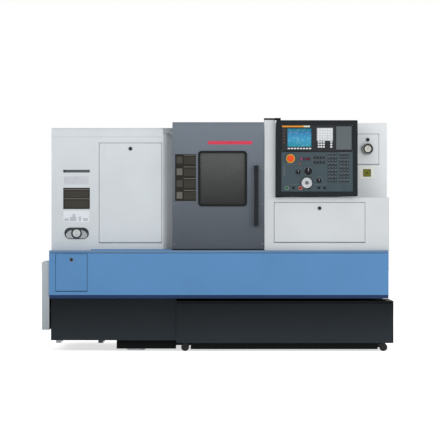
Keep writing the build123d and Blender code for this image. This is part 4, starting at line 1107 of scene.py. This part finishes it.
class LATHE_OT_operator_controls(bpy.types.Operator):
    """Legends, dials, keys, lamps and knob caps on the operator plate"""

    bl_idname = "lathe.operator_controls"
    bl_label = "Operator controls"

    def execute(self, context):
        body = "control_panel"
        low, high = box_of("operator_plate")
        left = low.x - SHADOW_GAP
        foot = low.z - SHADOW_GAP
        top = high.z
        face = box_of("display_unit")[0].y + 0.004
        emergency_stop(*middle_of("emergency_stop"), face)
        dials(face)
        lamps(left, top, face)
        bars = membrane_keys(left, foot, face)
        bars += [(left + 0.020, left + 0.118, top - 0.092, top - 0.090, "747b80", 1),
                 (left + 0.060, left + 0.190, foot + 0.054, foot + 0.056, "6d7479", 1),
                 (left + 0.240, left + 0.330, foot + 0.054, foot + 0.056, "6d7479", 1),
                 (left + 0.240, left + 0.335, top - 0.056, top - 0.030, "454b50", 1),
                 (left + 0.240, left + 0.335, top - 0.092, top - 0.066, "454b50", 1),
                 (left + 0.012, left + 0.030, foot + 0.120, foot + 0.190, "555c61", 1)]
        fields("plate_legend", bars, face, body, 0.0008, 0.0003)
        caps("small_switches", (0.012, 0.018), (left + 0.246, top - 0.088), (4, 2), (0.022, 0.036),
             face - 0.0003, "202326", body, 0.002)
        knobs = ((0.092, 0.009, "16181a"), (0.205, 0.010, "16181a"), (0.282, 0.009, "16181a"),
                 (0.325, 0.008, "1b1d20"))
        for i, (start, radius, code) in enumerate(knobs):
            profile = [(0.0, face - 0.010), (radius * 0.82, face - 0.0098), (radius * 0.96, face - 0.0085),
                       (radius, face - 0.001), (radius, face + BURIED)]
            plastic = moulded(f"knob_{code}", code, 0.4)
            turned(f"plate_knob_{i + 1}", left + start, foot + 0.028, profile, plastic, body, 28)
        for name, code in (("start_button", "2f6243"), ("hold_button", "8a352c")):
            x, z, front = middle_of(name)
            bezel_profile = [(0.0136, face - 0.0055), (0.0155, face - 0.0055), (0.0162, face - 0.004),
                             (0.0162, face + BURIED)]
            turned(f"{name}_bezel", x, z, bezel_profile, metal("bezel_ring", "a6a9ac", 0.3, "Y"), body, 36)
            cap_profile = [(0.0, front - 0.0002), (0.0115, front - 0.0001), (0.0124, front + 0.0006)]
            turned(f"{name}_cap", x, z, cap_profile, glossy(f"{name}_face", code), name, 32)
        return {"FINISHED"}


def gauge_needle(bm, x, z, front):
    """A flat needle that points up and a little to the right."""
    angle = math.radians(70)
    along = Vector((math.cos(angle), 0, math.sin(angle)))
    across = Vector((-along.z, 0, along.x))
    middle = Vector((x, 0, z))
    tail = middle - along * 0.006
    tip = middle + along * 0.019
    flat = [tail - across * 0.0011, tail + across * 0.0011, tip + across * 0.0003, tip - across * 0.0003]
    loft(bm, [[(p.x, y, p.z) for p in flat] for y in (front + 0.0028, front + 0.0034)])


def pressure_gauge(x, z, front):
    body = "gauge_door"
    black = moulded("gauge_black", "1a1b1c", 0.32)
    case_profile = [(0.0265, front + 0.0045), (0.0265, front + 0.0006), (0.0280, front),
                    (0.0375, front - 0.0002), (0.0402, front + 0.002), (0.0404, front + 0.0315),
                    (0.0432, front + 0.0318)]
    turned("gauge_case", x, z, case_profile, black, body, 56)
    face = front + 0.0041
    turned("gauge_face", x, z, [(0.0, face), (0.0264, face), (0.0264, front + 0.0052)],
           vinyl("gauge_white", "e6e6dc", 0.4), body, 48)
    dial_marks("gauge_marks", (x, z), face, 0.0225, 0.004, 11, -45, 270, body, "33383c", 0.0007)
    dial_marks("gauge_fine_marks", (x, z), face, 0.0238, 0.002, 51, -45, 270, body, "33383c", 0.0004)
    needle = closed_mesh("gauge_needle", lambda bm: gauge_needle(bm, x, z, front))
    finished("gauge_needle", needle, vinyl("needle_dark", "2a2c2e"), body)
    pin_profile = [(0.0, front + 0.002), (0.0022, front + 0.0022), (0.0024, front + 0.0042)]
    turned("gauge_pin", x, z, pin_profile, black, body, 20)


class LATHE_OT_right_trim(bpy.types.Operator):
    """Pressure gauge face, plain plates and screws on the right covers"""

    bl_idname = "lathe.right_trim"
    bl_label = "Right cover trim"

    def execute(self, context):
        low, high = box_of("gauge_door")
        pressure_gauge((low.x + high.x) / 2, high.z - 0.112, low.y)
        low, high = box_of("upper_right_cabinet")
        x = high.x - 0.153
        z = high.z - 0.3765
        rows = [(x - 0.054, x + 0.054, z - 0.0465, z + 0.0465, "eef0e6", 1),
                (x - 0.029, x + 0.031, z - 0.0325, z + 0.0245, "3f421c", 2),
                (x - 0.0245, x + 0.0265, z - 0.0280, z + 0.0200, "7c7c2a", 3),
                (x - 0.009, x + 0.011, z - 0.0135, z + 0.0045, "5a5b22", 4)]
        fields("end_plate", rows, low.y, "machine", 0.003, 0.0003)
        low, high = box_of("lower_right_cover")
        front = low.y
        rows = [(high.x - 0.02, front, low.z + rise) for rise in (0.048, 0.198, 0.368)]
        rows += [(x, front, low.z + 0.023) for x in (high.x - 0.14, low.x + 0.108)]
        screws("right_cover_screws", rows, FRONT, trim().cover_screw, "machine", screw_pale())
        post = [(low.x + 0.012, front, low.z + rise) for rise in (0.448, 0.698, 0.948)]
        screws("post_screws", post, FRONT, trim().cover_screw, "machine", screw_pale())
        side = [(high.x, y, low.z + rise) for y in (-0.6, -0.2, 0.2) for rise in (0.048, 0.368)]
        screws("right_side_screws", side, RIGHT, trim().side_screw, "machine")
        return {"FINISHED"}


def lock_face(name):
    """The black face and the slot of a quarter-turn lock."""
    low, high = box_of(name)
    radius = (high.z - low.z) / 2
    x = low.x + radius
    z = low.z + radius
    y = low.y
    profile = [(0.0, y - 0.0010), (radius * 0.80, y - 0.0010), (radius * 0.96, y + 0.0004),
               (radius + 0.0004, y + 0.0022), (radius + 0.0004, y + 0.0046)]
    turned(f"{name}_face", x, z, profile, moulded("lock_black", "17191b", 0.42), name, 36)
    plate(f"{name}_slot", x - 0.0085, x + 0.0085, z - 0.0012, z + 0.0012, y - 0.0014, y - 0.0009,
          moulded("slot_grey", "4c5054"), name, 0.001, 0.0001)


class LATHE_OT_base_trim(bpy.types.Operator):
    """Painted shade on the hem and a painted highlight on the top edge of the base band, a dark plinth that
    also stands in for shade under the skirt, screws of the skirt, and faces of the quarter-turn locks
    """

    bl_idname = "lathe.base_trim"
    bl_label = "Base trim"

    def execute(self, context):
        low, high = box_of("base_cover")
        skirt_low, skirt_high = box_of("left_skirt")
        face = low.y
        left = low.x + 0.001
        right = high.x - 0.001
        # Painted shade: a dark blue strip over the band's downward hem, darker than its shading alone.
        hem = [(face - 0.0002, low.z + 0.026), (face + 0.0158, low.z + 0.0002),
               (face + 0.0166, low.z + 0.0008), (face + 0.0008, low.z + 0.0264)]
        hem_paint = painted("hem_paint", rgba("2e4066"), 0.5, 0.08)
        strip_along_x("band_hem", hem, left, right, hem_paint, "machine")
        # Painted highlight: a paler strip along the eased top edge of the band.
        edge = [(face - 0.0004, high.z - 0.024), (face - 0.0004, high.z - 0.0135),
                (face + 0.005, high.z - 0.0075), (face + 0.020, high.z - 0.0075),
                (face + 0.020, high.z - 0.0138), (face + 0.0004, high.z - 0.0138)]
        strip_along_x("band_edge", edge, left, right, painted("edge_paint", rgba("6886a6")), "machine")
        row = [(skirt_low.x + 0.05 + i * 0.2, skirt_low.y, skirt_low.z + 0.019) for i in range(5)]
        screws("skirt_screws", row, FRONT, trim().side_screw, "machine", screw_black())
        # A near-black strip low in front of the pedestal: partly the dark foot of the base, partly painted
        # shade in the gap under the skirt.
        front = skirt_low.y + 0.038
        head = skirt_low.z - 0.0005
        plinth = [(front, 0.016), (front, head), (front + 0.040, head), (front + 0.040, 0.022)]
        strip_along_x("plinth", plinth, skirt_high.x - 0.450, skirt_high.x - 0.002, runner_paint(), "machine")
        for name in ("band_door_lock", "gauge_door_lock", "right_flap_lock", "service_lock"):
            lock_face(name)
        return {"FINISHED"}


class LATHE_OT_tank_trim(bpy.types.Operator):
    """Lip, low runner and screws of the coolant tank; the runner reaches down near the floor and also stands
    in for the shade under the tank
    """

    bl_idname = "lathe.tank_trim"
    bl_label = "Coolant tank trim"

    def execute(self, context):
        low, high = box_of("coolant_tank")
        face = low.y
        dark = runner_paint()
        lip_top = high.z - 0.002
        lip_foot = high.z - 0.022
        lip = [(face - 0.0004, lip_foot), (face - 0.0004, lip_top), (face + 0.003, lip_top),
               (face + 0.003, lip_foot)]
        strip_along_x("tank_lip", lip, low.x + 0.004, high.x - 0.004, dark, "tank")
        front = face + 0.012
        back = face + 0.040
        head = low.z + 0.0442
        # The runner reaches down near the floor: partly a real runner, partly painted shade under the tank.
        runner = [(front, 0.014), (front, head), (back, head), (back, 0.018)]
        start = box_of("left_wheelset")[1].x + 0.012
        end = box_of("right_wheelset")[0].x - 0.012
        strip_along_x("tank_runner", runner, start, end, dark, "tank")
        row = [(x, face, high.z - 0.045) for x in (low.x + 0.02, low.x + 0.45, high.x - 0.45, high.x - 0.02)]
        screws("tank_screws", row, FRONT, 0.004, "tank", screw_black())
        return {"FINISHED"}


def back_plate(name, x, z, half_width, half_height, face, material):
    """A plate let into a rear face."""
    rings = plate_rings(x - half_width, x + half_width, z - half_height, z + half_height, face + 0.0004,
                        face - 0.0004, 0.004, -0.0001)
    finished(name, closed_mesh(name, lambda bm: loft(bm, rings)), material, "machine")


class LATHE_OT_rear_trim(bpy.types.Operator):
    """Door latches, hinges and vents of the electrical cabinet; the vent slats are dark, painted shade in the
    openings
    """

    bl_idname = "lathe.rear_trim"
    bl_label = "Rear units trim"

    def execute(self, context):
        low, high = box_of("electrical_cabinet")
        face = high.y
        middle = (low.x + high.x) / 2
        black = moulded("handle_black", "1f2123", 0.4)
        rim = moulded("latch_rim", "6f7478")
        latch_z = low.z + 0.72
        for side, x in (("left", middle - 0.050), ("right", middle + 0.050)):
            back_plate(f"cabinet_latch_{side}", x, latch_z, 0.014, 0.070, face, black)
            back_plate(f"cabinet_latch_frame_{side}", x, latch_z, 0.019, 0.075, face, rim)
        for side, x in (("left", low.x + 0.012), ("right", high.x - 0.012)):
            for i, z in enumerate((low.z + 0.15, (low.z + high.z) / 2, high.z - 0.15)):
                back_plate(f"cabinet_hinge_{side}_{i + 1}", x, z, 0.010, 0.035, face, black)
        # Painted shade: the vent slots are thin dark slats on the face, standing in for the shade inside the
        # louvre openings.
        vent_width = 0.22
        slot = ((-0.0004, 0.0), (0.0004, 0.0), (0.0004, 0.007), (-0.0004, 0.007))
        slat = seed_piece(lambda bm: loft(bm, [[(x, y, z) for y, z in slot] for x in (0.0, vent_width)]))
        corners = [(x, face, z) for z in (low.z + 0.12, high.z - 0.30)
                   for x in (middle - 0.42, middle + 0.20)]
        for i, corner in enumerate(corners):
            values = array_values(slat, 1, 11, corner, 0.0, 0.016)
            grown_piece(f"cabinet_vent_{i + 1}", bpy.data.meshes.new("points"), rows_and_columns, values,
                        moulded("vent_dark", "4a4e52"), "machine")
        bpy.data.objects.remove(slat)
        return {"FINISHED"}


# Stage

WHITE = (1, 1, 1, 1)


def area_light(name, place, target, power):
    lamp = bpy.data.lights.new(name, "AREA")
    lamp.size = 4.0
    lamp.energy = power
    light = bpy.data.objects.new(name, lamp)
    light.location = place
    bpy.context.scene.collection.objects.link(light)
    light.rotation_mode = "QUATERNION"
    light.rotation_quaternion = (Vector(target) - light.location).to_track_quat("-Z", "Y")


def studio_world(strength, shown):
    """A plain pale world that looks white to the camera and lights the object less."""
    world = bpy.data.worlds.new("studio")
    bpy.context.scene.world = world
    world.use_nodes = True
    tree = world.node_tree
    background = tree.nodes["Background"]
    path = tree.nodes.new("ShaderNodeLightPath")
    seen = math_node(tree, "MAXIMUM", path.outputs["Is Camera Ray"], path.outputs["Is Transmission Ray"])
    background.inputs["Color"].default_value = WHITE
    level = total(tree, product(tree, seen, shown - strength), strength)
    tree.links.new(level, background.inputs["Strength"])


def floor_material():
    """A pale floor that glows a little where the camera or a reflection sees it."""
    material = bpy.data.materials.new("pale_floor")
    material.use_nodes = True
    tree = material.node_tree
    shader = tree.nodes["Principled BSDF"]
    shader.inputs["Base Color"].default_value = rgba("f6f6f6")
    shader.inputs["Roughness"].default_value = 0.9
    glow = tree.nodes.new("ShaderNodeEmission")
    glow.inputs["Color"].default_value = WHITE
    glow.inputs["Strength"].default_value = 0.66
    both = tree.nodes.new("ShaderNodeAddShader")
    path = tree.nodes.new("ShaderNodeLightPath")
    mix = tree.nodes.new("ShaderNodeMixShader")
    seen = math_node(tree, "MAXIMUM", path.outputs["Is Camera Ray"], path.outputs["Is Glossy Ray"])
    tree.links.new(shader.outputs[0], both.inputs[0])
    tree.links.new(glow.outputs[0], both.inputs[1])
    tree.links.new(seen, mix.inputs[0])
    tree.links.new(shader.outputs[0], mix.inputs[1])
    tree.links.new(both.outputs[0], mix.inputs[2])
    tree.links.new(mix.outputs[0], tree.nodes["Material Output"].inputs["Surface"])
    return material


class LATHE_OT_stage(bpy.types.Operator):
    """Floor, lights, world and camera"""

    bl_idname = "lathe.stage"
    bl_label = "Stage"

    def execute(self, context):
        view = context.scene.lathe_view
        context.scene.view_settings.view_transform = "Standard"
        bpy.ops.mesh.primitive_plane_add(size=60)
        floor = context.object
        floor.name = "floor"
        floor.data.materials.append(floor_material())
        studio_world(0.62, 1.0)
        area_light("key", (-3.6, -6.5, 4.6), (0, -0.4, 0.9), 120)
        area_light("fill", (4.6, -6.0, 2.6), (0, -0.4, 0.9), 135)
        area_light("rear", (1.5, 6.0, 4.8), (0, 0.4, 1.0), 95)
        camera_data = bpy.data.cameras.new("camera")
        camera = bpy.data.objects.new("camera", camera_data)
        context.scene.collection.objects.link(camera)
        front = CAD_BOX[0][1]
        camera.location = (view.side, front - view.distance, view.height)
        camera.rotation_euler = (math.radians(90), 0, 0)
        camera_data.lens = camera_data.sensor_width * view.distance / view.frame_width
        context.scene.camera = camera
        return {"FINISHED"}


class LATHE_PT_panel(bpy.types.Panel):
    """Lists the lathe's sizes, colours and pieces"""

    bl_label = "Turning lathe"
    bl_idname = "LATHE_PT_panel"
    bl_space_type = "VIEW_3D"
    bl_region_type = "UI"
    bl_category = "Lathe"

    def draw(self, context):
        for group in PROPERTY_GROUPS:
            box = self.layout.box()
            settings = getattr(context.scene, group)
            for field in settings.bl_rna.properties:
                if field.identifier not in ("rna_type", "name"):
                    box.prop(settings, field.identifier)
        for operator in OPERATORS:
            self.layout.operator(operator.bl_idname)


PROPERTY_GROUPS = {"lathe_paints": LathePaints, "lathe_trim": LatheTrim, "lathe_view": LatheView}
OPERATORS = (
    LATHE_OT_finishes, LATHE_OT_door_trim, LATHE_OT_left_cabinet_trim, LATHE_OT_side_trunk,
    LATHE_OT_screen_unit, LATHE_OT_operator_controls, LATHE_OT_right_trim, LATHE_OT_base_trim,
    LATHE_OT_tank_trim, LATHE_OT_rear_trim, LATHE_OT_stage,
)


def register():
    for name, group in PROPERTY_GROUPS.items():
        bpy.utils.register_class(group)
        setattr(bpy.types.Scene, name, bpy.props.PointerProperty(type=group))
    for cls in (*OPERATORS, LATHE_PT_panel):
        bpy.utils.register_class(cls)


def unregister():
    for cls in (LATHE_PT_panel, *reversed(OPERATORS)):
        bpy.utils.unregister_class(cls)
    for name, group in PROPERTY_GROUPS.items():
        delattr(bpy.types.Scene, name)
        bpy.utils.unregister_class(group)


def main():
    register()
    for operator in OPERATORS:
        family, name = operator.bl_idname.split(".")
        getattr(getattr(bpy.ops, family), name)()


if __name__ == "__main__":
    main()
